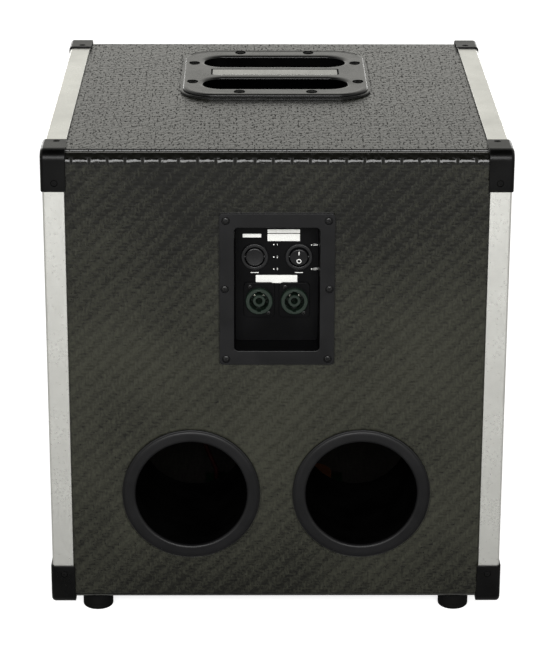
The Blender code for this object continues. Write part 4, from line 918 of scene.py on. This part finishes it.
def make_handle():
    """A pressing with a rounded border and slot edges that roll down into the tray."""
    top, low = 427.8, 425.6
    border, lip = 5.5, 4.7

    def outer(inset):
        width, length = HANDLE_WIDTH - 2 * inset, HANDLE_LENGTH - 2 * inset
        return rounded(width, length, HANDLE_CORNER - inset, 12)

    def slot(end, grow):
        width, length = SLOT_LENGTH + 2 * grow, SLOT_WIDTH + 2 * grow
        return rounded(width, length, SLOT_CORNER + grow, 10, (0, end * SLOT_MIDDLE))

    skins = [
        filled([outer(border), slot(-1, lip), slot(1, lip)], top - 0.3),
        filled([outer(0), slot(-1, 0), slot(1, 0)], low),
    ]
    rim = [(outer(border), top - 0.3), (outer(4.9), top - 0.05), (outer(3.6), top)]
    for i in range(7):
        angle = math.radians(15 * i)
        rim.append((outer(2.4 - 2.4 * math.sin(angle)), top - 1.6 + 1.5 * math.cos(angle)))
    rim.append((outer(0), low))
    skins.append(wall(rim))
    for end in (-1, 1):
        roll = [(slot(end, lip), top - 0.3)]
        for i in range(1, 9):
            angle = math.radians(90 * i / 8)
            roll.append((slot(end, lip - lip * math.sin(angle)), top - 2.0 + 1.7 * math.cos(angle)))
        roll.append((slot(end, 0), low))
        skins.append(wall(roll))
    whole = welded(*skins)
    label_floor = top - 0.95
    tools = [plate([rounded(117.6, 22.4, 1.6, 4)], label_floor, top + 2)]
    flat = [(side * x, y) for side in (-1, 1) for x, y in ((74.7, -96.8), (75.0, -26.0))]
    domed = [(side * x, y) for side in (-1, 1) for x, y in ((32.3, 11.0), (32.1, -138.4))]
    # Each screw sits in an oval notch, longer towards the rear
    reach, longer, aft = 5.1, 1.38, 1.5
    for x, y in flat + domed:
        notch = revolve([(0, top + 1), (reach, top + 1), (reach, low + 0.3), (0, low + 0.3)], 40)
        moved(notch, Matrix.Diagonal((1, longer, 1, 1)))
        tools.append(moved(notch, Matrix.Translation((-x, HANDLE_MIDDLE - y - aft, 0))))
    whole = carve(whole, *tools)

    def in_painted_shade(spot):
        """Painted shade: in a notch, under the label, or on the border's far roll."""
        if abs(spot.z - label_floor) < 0.05 and abs(spot.x) < 59 and abs(spot.y - HANDLE_MIDDLE) < 12:
            return True
        if spot.z < top - 0.5:
            for x, y in flat + domed:
                if math.hypot(spot.x - x, (spot.y - y - aft) / longer) < reach + 0.4:
                    return True
        aside = max(abs(spot.x) - HANDLE_WIDTH / 2 + HANDLE_CORNER, 0)
        beyond = HANDLE_MIDDLE - spot.y - HANDLE_LENGTH / 2 + HANDLE_CORNER
        return beyond > 0.35 * aside and math.hypot(aside, beyond) > HANDLE_CORNER - 3.7

    place = at((0, HANDLE_MIDDLE, 0), TOP)
    node = "handle_plate"
    # Painted shade: the notches, the floor round the label and the far roll take the dull black
    dull = ("screw_dull_and_shade", in_painted_shade)
    make(node + "_pressing", whole, "handle_black", place, replaces=(node,), part=dull)
    label = plate([rounded(114.4, 19.4, 1.0, 4)], top - 0.98, top - 0.55, 0.12)
    make("handle_label_strip", label, "aluminium_label", place)
    for kind, spots, dome in (("flat", flat, 1.2), ("dome", domed, 1.7)):
        spots = [(x, y, low + 0.4) for x, y in spots]
        screws(f"handle_{kind}_screws", spots, TOP, 4.5, dome, "screw_dull_and_shade")


def make_tray():
    """The pressed tray under the plate: a flat lip and a drafted pocket."""

    def lip(inset):
        grow = TRAY_LIP - inset
        return rounded(HANDLE_WIDTH + 2 * grow, HANDLE_LENGTH + 2 * grow, HANDLE_CORNER + grow, 12)

    def pocket(inset):
        width, length = TRAY_WIDTH - 2 * inset, TRAY_LENGTH - 2 * inset
        return rounded(width, length, TRAY_CORNER - inset, 12)

    shown = [(lip(0), 423.3), (lip(0), 424.4), (lip(0.3), 425.0), (lip(1.1), 425.3)]
    shown += [(pocket(-1.5), 425.3), (pocket(-0.5), 425.0), (pocket(0), 424.0)]
    shown += [(pocket(TRAY_DRAFT - 0.4), 391.8), (pocket(TRAY_DRAFT + 0.4), 389.9), (pocket(8.0), 389.3)]
    hidden = [(pocket(8.0), 387.4), (pocket(TRAY_DRAFT - 2.0), 391.0)]
    hidden += [(pocket(-2.0), 423.3), (lip(0), 423.3)]
    floors = (filled([pocket(8.0)], 389.3), filled([pocket(8.0)], 387.4))
    work = welded(wall(shown), wall(hidden), *floors)

    def in_pocket(spot):
        return spot.z < 423.4 or 424.0 < spot.z < 424.9 and abs(spot.x) < 75

    place = at((0, HANDLE_MIDDLE, 0), TOP)
    node = "handle_tray"
    # Painted shade: the pocket takes the near-black bore finish
    part = ("bore_shaded_black", in_pocket)
    make(node + "_pressing", work, "handle_black", place, replaces=(node,), part=part)


# The rear

def make_ports():
    outline = [(51.2, 62.8 - 200), (51.2, 0.35), (59.5, 0.35)]
    outline += [(59.5, 1.3), (59.2, 1.9), (58.7, 2.05), (58.4, 1.7), (58.0, 1.75)]
    outline += [(57.5, 2.2), (56.6, 2.5), (55.0, 2.65)]
    outline += arc((50.6, 0.15), 2.6, 80, 180, 10)
    outline += [(48.0, 64.5 - 200), (49.6, 62.8 - 200)]
    for name, side in (("left", -1), ("right", 1)):
        work = revolve(outline, 96)
        node = "port_tube_" + name
        place = (side * PORT_X, CAB_HALF_DEPTH, PORT_Z)
        # Painted shade: the bore beyond the rim takes the near-black finish
        bore = ("bore_shaded_black", lambda spot: spot.y < CAB_HALF_DEPTH - 3)
        make(node + "_moulding", work, "moulded_black", at(place, REAR), replaces=(node,), part=bore)


def make_dish():
    front = 2.8
    width, height = 97.0, 134.0
    mouth_w, mouth_h = 72.0, 109.0
    steps = 8
    rings = []

    def ring(w, h, r, level):
        rings.append(ring_at(rounded(w, h, r, steps), level))

    ring(width, height, 3.0, 0.3)
    ring(width, height, 3.0, front - 0.5)
    ring(width - 0.3, height - 0.3, 2.9, front - 0.15)
    ring(width - 1.0, height - 1.0, 2.6, front)
    ring(mouth_w + 1.6, mouth_h + 1.6, 4.2, front)
    ring(mouth_w + 0.5, mouth_h + 0.5, 3.8, front - 0.25)
    ring(mouth_w, mouth_h, 3.5, front - 0.9)
    ring(mouth_w - 1.5, mouth_h - 1.5, 2.9, -21.4)
    ring(mouth_w - 2.1, mouth_h - 2.1, 2.7, -22.0)
    cap_in = len(rings) - 1
    ring(mouth_w + 3.4, mouth_h + 3.4, 5.0, -24.5)
    cap_out = len(rings) - 1
    ring(mouth_w + 5.0, mouth_h + 5.0, 6.0, 0.3)
    work = bmesh.new()
    made = [[work.verts.new(point) for point in one] for one in rings]
    for index, one in enumerate(made):
        if index != cap_in:
            skin(work, one, made[(index + 1) % len(made)])
    work.faces.new(made[cap_in])
    work.faces.new(made[cap_out])
    bmesh.ops.recalc_face_normals(work, faces=work.faces)
    tools = []
    for x, z, radius in (
        (SOCKET_X, SOCKET_Z, 11.9),
        (-SOCKET_X, SOCKET_Z, 11.9),
        (SWITCH_X, SWITCH_Z, 10.3),
        (-SWITCH_X, SWITCH_Z, 10.3),
    ):
        hole = plate([circle(radius, 64)], -40, -10)
        tools.append(moved(hole, Matrix.Translation((-x, z - DISH_MIDDLE, 0))))
    heads = ((43, 365.2), (-43, 365.2), (43, 242.8), (-43, 242.8), (44, 305.3), (-44, 305.3))
    for x, z in heads:
        well = revolve([(0, 1), (3.6, 1), (3.6, 0.0), (3.1, -1.1), (0, -1.1)], 40)
        tools.append(moved(well, Matrix.Translation((-x, z - DISH_MIDDLE, front))))
    work = carve(work, *tools)
    place = (0, CAB_HALF_DEPTH, DISH_MIDDLE)
    # Painted shade: the recess walls and floor take the darker copy of the moulding's black
    recess = ("recess_shaded_black", lambda spot: spot.y < CAB_HALF_DEPTH)
    node = "jack_dish"
    make(node + "_moulding", work, "moulded_black", at(place, REAR), replaces=(node,), part=recess)
    spots = [(x, CAB_HALF_DEPTH + front - 1.05, z) for x, z in heads]
    screws("dish_screws", spots, REAR, 2.75, 0.8)


def make_dish_marks():
    """Blank labels, position dots, plain numbers and the two switch words."""
    wall = DISH_WALL + 0.02
    labels = (
        ("dish_label_wide", -19.5, 7.9, 347.0, 350.2),
        ("dish_label_rating", -19.5, 7.9, 339.9, 346.3),
        ("dish_label_small", 13.2, 28.9, 343.1, 346.2),
        ("dish_label_lower", -17.4, 17.8, 302.6, 309.7),
    )
    for name, left, right, low, high in labels:
        work = plate([rounded(right - left, high - low, 0.5, 4)], 0, 0.18, 0.06)
        place = ((left + right) / 2, wall, (low + high) / 2)
        make(name, work, "label_white", at(place, REAR))
    works = []
    level, power = (2.6, 0.2), (-29.4, -30.4)
    marks = [("1", level, 336.7), ("2", level, 325.7), ("3", level, 315.0)]
    marks += [("ON", power, 336.5), ("OFF", power, 315.0)]
    for _, (x, _), z in marks:
        dot = revolve([(0, 0.12), (0.5, 0.12), (0.55, 0), (0, 0)], 20)
        works.append(moved(dot, at((x, wall, z), REAR)))
    for x in (SWITCH_X, -SWITCH_X):
        line = plate([rounded(7.0, 0.6, 0.28, 3)], 0, 0.12)
        works.append(moved(line, at((x, wall, 311.9), REAR)))
    for words, (_, x), z in marks:
        curve = bpy.data.curves.new("mark", "FONT")
        curve.body = words
        curve.size = 2.6
        curve.align_x = "LEFT"
        curve.align_y = "CENTER"
        curve.extrude = 0.06
        curve.resolution_u = 4
        works.append(moved(curve_work(curve), at((x, wall + 0.06, z), REAR)))
    make("dish_print", merged(*works), "print_white")


def make_sockets():
    for name, side in (("left", -1), ("right", 1)):
        node = "speaker_socket_" + name
        profile = [(0, -10.6), (2.8, -11), (2.8, 4.6), (3.1, 5.0), (4.9, 5.0), (5.3, 4.6), (5.3, -11)]
        profile += [(8.1, -11), (8.1, 6.2), (8.5, 6.8), (10.9, 6.8), (11.5, 6.2), (11.5, -24), (0, -24)]
        body = revolve(profile, 72)
        notch = box((-1.9, 7.2, -6), (1.9, 9.6, 8))
        low_notch = box((-1.6, -9.2, -6), (1.6, -7.2, 8))
        side_slots = [box((4.9, -0.8, 1.5), (5.9, 0.8, 8)), box((-5.9, -0.8, 1.5), (-4.9, 0.8, 8))]
        body = carve(body, notch, low_notch, *side_slots)
        flange = plate([rounded(26, 31, 3.5, 6), circle(11.4, 72)], 0, 2.2, 0.35)
        spots = [(7.9 * k, 11.7 * k) for k in (-1, 1)]
        wells = []
        for x, y in spots:
            wells.append(moved(revolve([(0, 3), (2.3, 3), (2.3, 1.9), (0, 1.9)], 28), at((-x, y, 0))))
        flange = carve(flange, *wells)
        key = shifted(plate([rounded(4.6, 1.2, 0.5, 4)], 6.3, 6.95, 0.2), 0, 9.6, 0)
        whole = merged(body, flange, key)
        place = (side * SOCKET_X, DISH_WALL + 0.3, SOCKET_Z)

        def on_flange(spot, place=place):
            return math.hypot(spot.x - place[0], spot.z - place[2]) > 11.6

        # Painted shade: the flange in the recess takes the darker black
        part = ("recess_shaded_black", on_flange)
        make(node + "_moulding", whole, "socket_green", at(place, REAR), replaces=(node,), part=part)
        heads = []
        for x, y in spots:
            heads.append((side * SOCKET_X + x, DISH_WALL + 2.3, SOCKET_Z + y))
        screws(f"socket_screws_{name}", heads, REAR, 1.9, 0.5)
        contacts = []
        for k in range(4):
            contact = box((-0.9, 5.45, -10.8), (0.9, 5.9, 1.5), 0.15)
            contacts.append(turned(contact, 45 + 90 * k))
        make(node + "_contacts", merged(*contacts), "metal_contact", at(place, REAR))


def make_switches():
    top = 2.4
    profile = [(0, -6.1), (8.6, -6.1), (8.6, 1.4)] + arc((9.3, top - 0.7), 0.7, 180, 90, 4)
    profile += arc((10.8, top - 0.8), 0.8, 90, 0, 4) + [(11.6, 0), (9.9, 0), (9.9, -20), (0, -20)]
    for name, side, tilt in (("power", -1, 8.0), ("level", 1, 0.0)):
        place = Vector((side * SWITCH_X, DISH_WALL + 0.3, SWITCH_Z))
        node = name + "_switch_body"
        work = revolve(profile, 72)
        pin = turned(revolve([(0, -9.6), (1.4, -9.6), (1.4, 9.6), (0, 9.6)], 24), 90, "Y")
        work = carve(work, shifted(pin, 0, 0, 0.3))
        make(node + "_moulding", work, "rocker_black", at(place, REAR), replaces=(node,))

        # The rocker's face is dished, with raised marks on the power switch
        rim = [(7.7, -2.5), (7.7, 1.8), (7.45, 2.3), (7.0, 2.5), (6.4, 2.38), (4.0, 2.1), (0, 2.0)]
        rocker = revolve([(0, -2.5)] + rim, 72)
        pins = turned(revolve([(0, -9.3), (1.1, -9.3), (1.1, 9.3), (0, 9.3)], 20), 90, "Y")
        pivot = place + Vector((0, top + 0.4 - 2.5, 0))
        turn = at(pivot, REAR) @ Matrix.Rotation(math.radians(tilt), 4, "X")
        node = name + "_switch_rocker"
        both = merged(rocker, pins)
        make(node + "_moulding", both, "rocker_black", turn, name + "_rocker", (node,))
        if name == "power":
            bar = shifted(plate([rounded(0.8, 3.4, 0.3, 4)], 2.0, 2.36, 0.06), 0, 4.0, 0)
            ring = plate([circle(2.05, 40), circle(1.35, 40)], 1.98, 2.3, 0.06)
            shifted(ring, 0, -3.4, 0)
            make("power_rocker_marks", merged(bar, ring), "print_white", turn, "power_rocker")


# The front

def make_grille():
    """Expanded metal: a third of the CAD pitch, each strand with a rounded section."""
    width, height = 353.0, 369.4
    across, up = 46.0 / 3, 31.0 / 3
    strand = 1.9
    half_across, half_up = across / 2, up / 2
    shrink = strand / 2 * math.hypot(half_across, half_up)
    reach_across = half_across - shrink / half_up
    reach_up = half_up - shrink / half_across
    border = 9.0
    holes = []
    for row in range(-40, 41):
        for column in range(-30, 31):
            if (row + column) % 2:
                continue
            x, y = column * half_across, row * half_up
            if abs(x) + reach_across > width / 2 - border or abs(y) + reach_up > height / 2 - border:
                continue
            blunt = 0.18
            holes.append([
                (x + reach_across, y - reach_up * blunt), (x + reach_across, y + reach_up * blunt),
                (x + reach_across * blunt, y + reach_up), (x - reach_across * blunt, y + reach_up),
                (x - reach_across, y + reach_up * blunt), (x - reach_across, y - reach_up * blunt),
                (x - reach_across * blunt, y - reach_up), (x + reach_across * blunt, y - reach_up),
            ])
    sheet = plate([rounded(width, height, 6, 6)] + holes, -1.5, 0.0, 0.45, 1)
    fold = [(0, -8), (0, -1.2), (0.35, -0.35), (1.2, 0.0)]
    fold += [(2.4, -0.2), (2.4, -1.4), (1.5, -1.4), (1.5, -8)]
    rings = []
    for inset, level in fold:
        outline = rounded(width - 2 * inset, height - 2 * inset, 6 - inset / 2, 6)
        rings.append(ring_at(outline, level))
    whole = merged(sheet, loft(rings))
    place = at((0, GRILLE_FRONT, CAB_MIDDLE), FRONT)
    make("front_grille_mesh", whole, "grille_steel", place, replaces=("front_grille",))
    heights = (CAB_MIDDLE - 150, CAB_MIDDLE, CAB_MIDDLE + 150)
    spots = [(x, GRILLE_FRONT, z) for x in (-164.5, 164.5) for z in heights]
    screws("grille_screws", spots, FRONT, 3.4, 1.5)


def strip(line, thickness):
    """A closed profile of even thickness about a line of (radius, height) points."""
    sides = ([], [])
    for i, point in enumerate(line):
        before = Vector(line[max(i - 1, 0)])
        after = Vector(line[min(i + 1, len(line) - 1)])
        way = (after - before).normalized()
        normal = Vector((-way.y, way.x)) * thickness / 2
        sides[0].append(tuple(Vector(point) + normal))
        sides[1].append(tuple(Vector(point) - normal))
    return sides[0] + sides[1][::-1]


def flexing(name, profile, finish, node):
    """A ring in sectors, each made as its own piece that rides on no body."""
    centre = Vector((0, BAFFLE_FRONT, WOOFER_Z))
    sectors = 24
    for k in range(sectors):
        rings = []
        for i in range(7):
            angle = 2 * math.pi * (k + 0.002 + 0.996 * i / 6) / sectors
            x, y = math.cos(angle), math.sin(angle)
            rings.append([(radius * x, radius * y, depth) for radius, depth in profile])
        work = loft(rings, False)
        label = f"{name}_{k + 1:02d}"
        piece = make(label, work, finish, at(centre, FRONT), None, (node,), even=False)
        angle = 2 * math.pi * (k + 0.5) / sectors
        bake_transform(piece)


def make_woofer():
    """Depths behind the baffle face are negative, as the facing points forward."""
    facing = at((0, BAFFLE_FRONT, WOOFER_Z), FRONT)
    basket = [(66, -80), (144, -5.7), (144, 0.3), (152.1, 0.3), (152.5, 0.7), (152.5, 5.6)]
    basket += [(152.1, 6.0), (141.4, 6.0), (141, 5.6), (141, 0), (134, 0), (134, -2.85)]
    basket += [(69.3, -62), (62, -62), (62, -73), (36, -73), (36, -80)]
    work = revolve(basket, 120)
    tools = []
    for k in range(6):
        points = []
        for radius, order in ((78, -1), (127, 1)):
            half = math.pi / 6 - math.asin(10 / radius)
            for turn in (order * half, -order * half):
                angle = math.pi / 3 * k + turn
                points.append((radius * math.cos(angle), radius * math.sin(angle)))
        tools.append(plate([points], -84, -3.2, 0.0))
    holes = circle(WOOFER_SCREW_CIRCLE, 8, 22.5)
    for x, y in holes:
        tools.append(shifted(revolve([(0, 8), (4.4, 8), (4.4, 5.3), (0, 5.3)], 24), x, y, 0))
    work = carve(work, *tools)
    make("woofer_basket_pressing", work, "basket_steel", facing, replaces=("woofer_basket",))
    spots = [(x, BAFFLE_FRONT - 5.3, WOOFER_Z + y) for x, y in holes]
    screws("woofer_screws", spots, FRONT, 3.9, 1.8)

    gasket = [(134.6, 1.5), (134.6, 5.6), (135.0, 6.0), (140.3, 6.0), (140.7, 5.6), (140.7, 1.5)]
    make("woofer_gasket_ring", revolve(gasket, 120), "gasket_foam", facing, replaces=("woofer_gasket",))

    line = [(112, 0.9), (117, 0.9)] + arc((126, 0.9), 8.0, 180, 0, 14) + [(137, 0.9), (140.7, 0.9)]
    flexing("woofer_surround_roll", strip(line, 1.0), "rubber", "woofer_surround")
    line = []
    for i in range(37):
        share = i / 9
        swell = math.cos(math.pi * (share - 1))
        if share < 1 or share > 3:
            swell = math.sin(math.pi / 2 * min(share, 4 - share))
        line.append((26.7 + 35.3 * i / 36, -61.1 + 1.2 * swell))
    line.append((69.0, -61.1))
    flexing("woofer_spider_cloth", strip(line, 0.9), "spider_cloth", "woofer_spider")

    neck = 25.4 + 0.8 + 0.3 + 1.2
    cone = []
    for i in range(25):
        share = i / 24
        radius = neck + (112 - neck) * share
        depth = -58 + (58 - 0.6) * share
        ripple = 0.28 * math.sin(share * math.pi * 14) * math.sin(share * math.pi)
        cone.append((radius, depth + ripple - 2.2 * math.sin(share * math.pi)))
    cone += [(115, -0.6), (118, -0.6)]
    work = revolve(strip(cone, 1.1), 144)
    make("woofer_cone_paper", work, "cone_paper", facing, "woofer_moving", ("woofer_cone",))

    low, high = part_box("woofer_dust_cap")
    front = BAFFLE_FRONT - low.y / MM
    edge = BAFFLE_FRONT - high.y / MM
    rise = front - edge - 1.2
    dome = []
    for i in range(17):
        share = i / 16
        dome.append((40 * share, edge + 0.6 + rise * (1 - share**2)))
    work = revolve(strip(dome, 1.1), 96)
    make("woofer_dust_cap_dome", work, "dust_cap", facing, "woofer_moving", ("woofer_dust_cap",))


def make_tweeter():
    low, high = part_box("tweeter_horn")
    middle = (low + high) / 2 / MM
    place = (middle.x, BAFFLE_FRONT, middle.z)
    flare = []
    for i in range(25):
        share = i / 24
        radius = 12.5 * (37.5 / 12.5) ** (share**1.3)
        flare.append((radius, -36 + 40 * share))
    outside = [(r + 2.5, d) for r, d in flare if d < -2.5]
    profile = outside + [(40, 0.3), (45, 0.3), (45, 3.7), (44.4, 4.3), (38.2, 4.3), (37.8, 4.1)]
    profile += list(reversed(flare))
    work = revolve(profile, 96)
    make("tweeter_horn_moulding", work, "moulded_black", at(place, FRONT), replaces=("tweeter_horn",))
    holes = circle(TWEETER_SCREW_CIRCLE, 4, 45)
    spots = [(middle.x + x, BAFFLE_FRONT - 4.3, middle.z + y) for x, y in holes]
    screws("tweeter_screws", spots, FRONT, 2.2, 0.9)
    cap = []
    for i in range(9):
        share = i / 8
        cap.append((12.0 * share, -35.6 + 3.5 * (1 - share**2)))
    make("tweeter_diaphragm", revolve(strip(cap, 0.5), 48), "aluminium", at(place, FRONT))


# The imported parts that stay

def smooth_group():
    """Geometry nodes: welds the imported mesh's seams and shades it smooth below 35 degrees."""
    group = bpy.data.node_groups.new("smooth_by_angle", "GeometryNodeTree")
    for way in ("INPUT", "OUTPUT"):
        group.interface.new_socket("Geometry", in_out=way, socket_type="NodeSocketGeometry")
    tree = Nodes(group)
    packed = tree.add("NodeGroupInput").outputs[0]
    weld = tree.add("GeometryNodeMergeByDistance", {0: packed, "Distance": 1e-6}).outputs[0]
    faces = tree.add("GeometryNodeSetShadeSmooth", {0: weld}).outputs[0]
    angles = {0: tree.add("GeometryNodeInputMeshEdgeAngle").outputs[0], 1: math.radians(35)}
    blunt = tree.add("FunctionNodeCompare", angles, operation="LESS_EQUAL").outputs[0]
    smooth = {0: faces, "Shade Smooth": blunt}
    edges = tree.add("GeometryNodeSetShadeSmooth", smooth, domain="EDGE").outputs[0]
    tree.add("NodeGroupOutput", {0: edges})
    return group


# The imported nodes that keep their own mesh, under each finish
KEPT = {
    "covering_side": ("side_panel_left", "side_panel_right"),
    "plywood": (
        "top_panel", "bottom_panel", "rear_panel", "cross_brace", "baffle_panel",
        "grille_batten_left", "grille_batten_right",
    ),
    "plated_steel": ("woofer_front_plate", "woofer_pole_piece"),
    "ferrite": ("woofer_magnet",),
    "copper": ("woofer_voice_coil", "crossover_coil"),
    "driver_black": ("tweeter_driver",),
    "circuit_board": ("crossover_board",),
    "film_yellow": ("crossover_capacitor",),
    "lead_red": ("input_lead", "woofer_lead", "tweeter_lead"),
}


def dress_kept():
    group = smooth_group()
    for finish, names in KEPT.items():
        for obj in (NODES[name] for name in names):
            for slot in obj.material_slots:
                slot.material = FINISH[finish]
            obj.modifiers.new("smooth", "NODES").node_group = group


# The stage

def make_stage():
    mesh = bpy.data.meshes.new("floor")
    reach = 14.0
    corners = [(-reach, -reach, 0), (reach, -reach, 0), (reach, reach, 0), (-reach, reach, 0)]
    mesh.from_pydata(corners, [], [(0, 1, 2, 3)])
    floor = bpy.data.objects.new("floor", mesh)
    bpy.context.scene.collection.objects.link(floor)
    f = Finish("floor_paper", roughness=0.9, specular=0.1)
    fibre = f.noise(30.0, 3.0)
    f.put("Base Color", f.blend(fibre, (0.50, 0.50, 0.50), (0.54, 0.54, 0.54)))
    f.put("Emission Color", (1.0, 1.0, 1.0))
    # Seen straight on it is as white as in the photograph, without lighting the rear that much
    seen = f.add("ShaderNodeLightPath").outputs["Is Camera Ray"]
    f.put("Emission Strength", f.math("MULTIPLY", seen, 0.75))
    mesh.materials.append(f.material)

    world = bpy.data.worlds.new("studio")
    bpy.context.scene.world = world
    world.use_nodes = True
    sky = Nodes(world.node_tree)
    where = sky.add("ShaderNodeTexCoord").outputs["Generated"]
    _, back, up = sky.add("ShaderNodeSeparateXYZ", {0: where}).outputs
    # Behind the camera the dark starts lower, above the softbox
    lower = sky.scaled(sky.math("MAXIMUM", back, 0.0), 0.375, up)
    ramp = sky.add("ShaderNodeValToRGB", {0: lower})
    light, dark = ramp.color_ramp.elements
    light.position, light.color = 0.77, (1, 0.99, 0.93, 1)
    dark.position, dark.color = 0.87, (0.03, 0.03, 0.03, 1)
    # The camera itself sees plain white
    seen = sky.add("ShaderNodeLightPath").outputs["Is Camera Ray"]
    either = sky.add("ShaderNodeMixRGB", {0: seen, 1: ramp.outputs[0], 2: (1, 1, 1, 1)})
    background = world.node_tree.nodes["Background"]
    world.node_tree.links.new(either.outputs[0], background.inputs[0])
    background.inputs[1].default_value = 1.0

    lamp("softbox_behind_camera", (0.0, 4.2, 1.93), (0, 0.2, 0.42), (3.4, 1.6), 260.0)
    lamp("edge_light_left", (-1.5, -4.0, 0.5), (0, 0, 0.42), (0.7, 0.8), 9.0)
    lamp("edge_light_right", (1.5, -4.0, 0.5), (0, 0, 0.42), (0.7, 0.8), 9.0)


def lamp(name, place, target, size, power):
    data = bpy.data.lights.new(name, "AREA")
    data.shape = "RECTANGLE"
    data.size, data.size_y = size
    data.energy = power
    obj = bpy.data.objects.new(name, data)
    obj.location = place
    way = Vector(target) - Vector(place)
    obj.rotation_euler = way.to_track_quat("-Z", "Y").to_euler()
    bpy.context.scene.collection.objects.link(obj)


def make_camera():
    """The photograph's camera, found from the cabinet's edges in the picture."""
    pitch, yaw, roll = 0.339262475, 0.00949856, 0.00330919
    level = math.cos(pitch)
    forward = Vector((-math.sin(yaw) * level, -math.cos(yaw) * level, -math.sin(pitch)))
    right = Vector((-math.cos(yaw), math.sin(yaw), 0))
    up = right.cross(forward)
    x_axis = right * math.cos(roll) + up * math.sin(roll)
    y_axis = up * math.cos(roll) - right * math.sin(roll)
    data = bpy.data.cameras.new("photo_camera")
    data.lens = 2566.882 * 36 / 648
    data.sensor_width = 36
    data.clip_end = 60
    camera = bpy.data.objects.new("photo_camera", data)
    turn = Matrix((x_axis, y_axis, -forward)).transposed().to_4x4()
    camera.matrix_world = Matrix.Translation((0.020147, 2.245681, 0.995284)) @ turn
    bpy.context.scene.collection.objects.link(camera)
    bpy.context.scene.camera = camera


make_camera()
make_materials()
make_stage()
make_covering()
make_trims()
make_corners()
make_feet()
make_handle()
make_tray()
make_ports()
make_dish()
make_dish_marks()
make_sockets()
make_switches()
make_grille()
make_woofer()
make_tweeter()
dress_kept()
bpy.context.scene.view_settings.view_transform = "Standard"
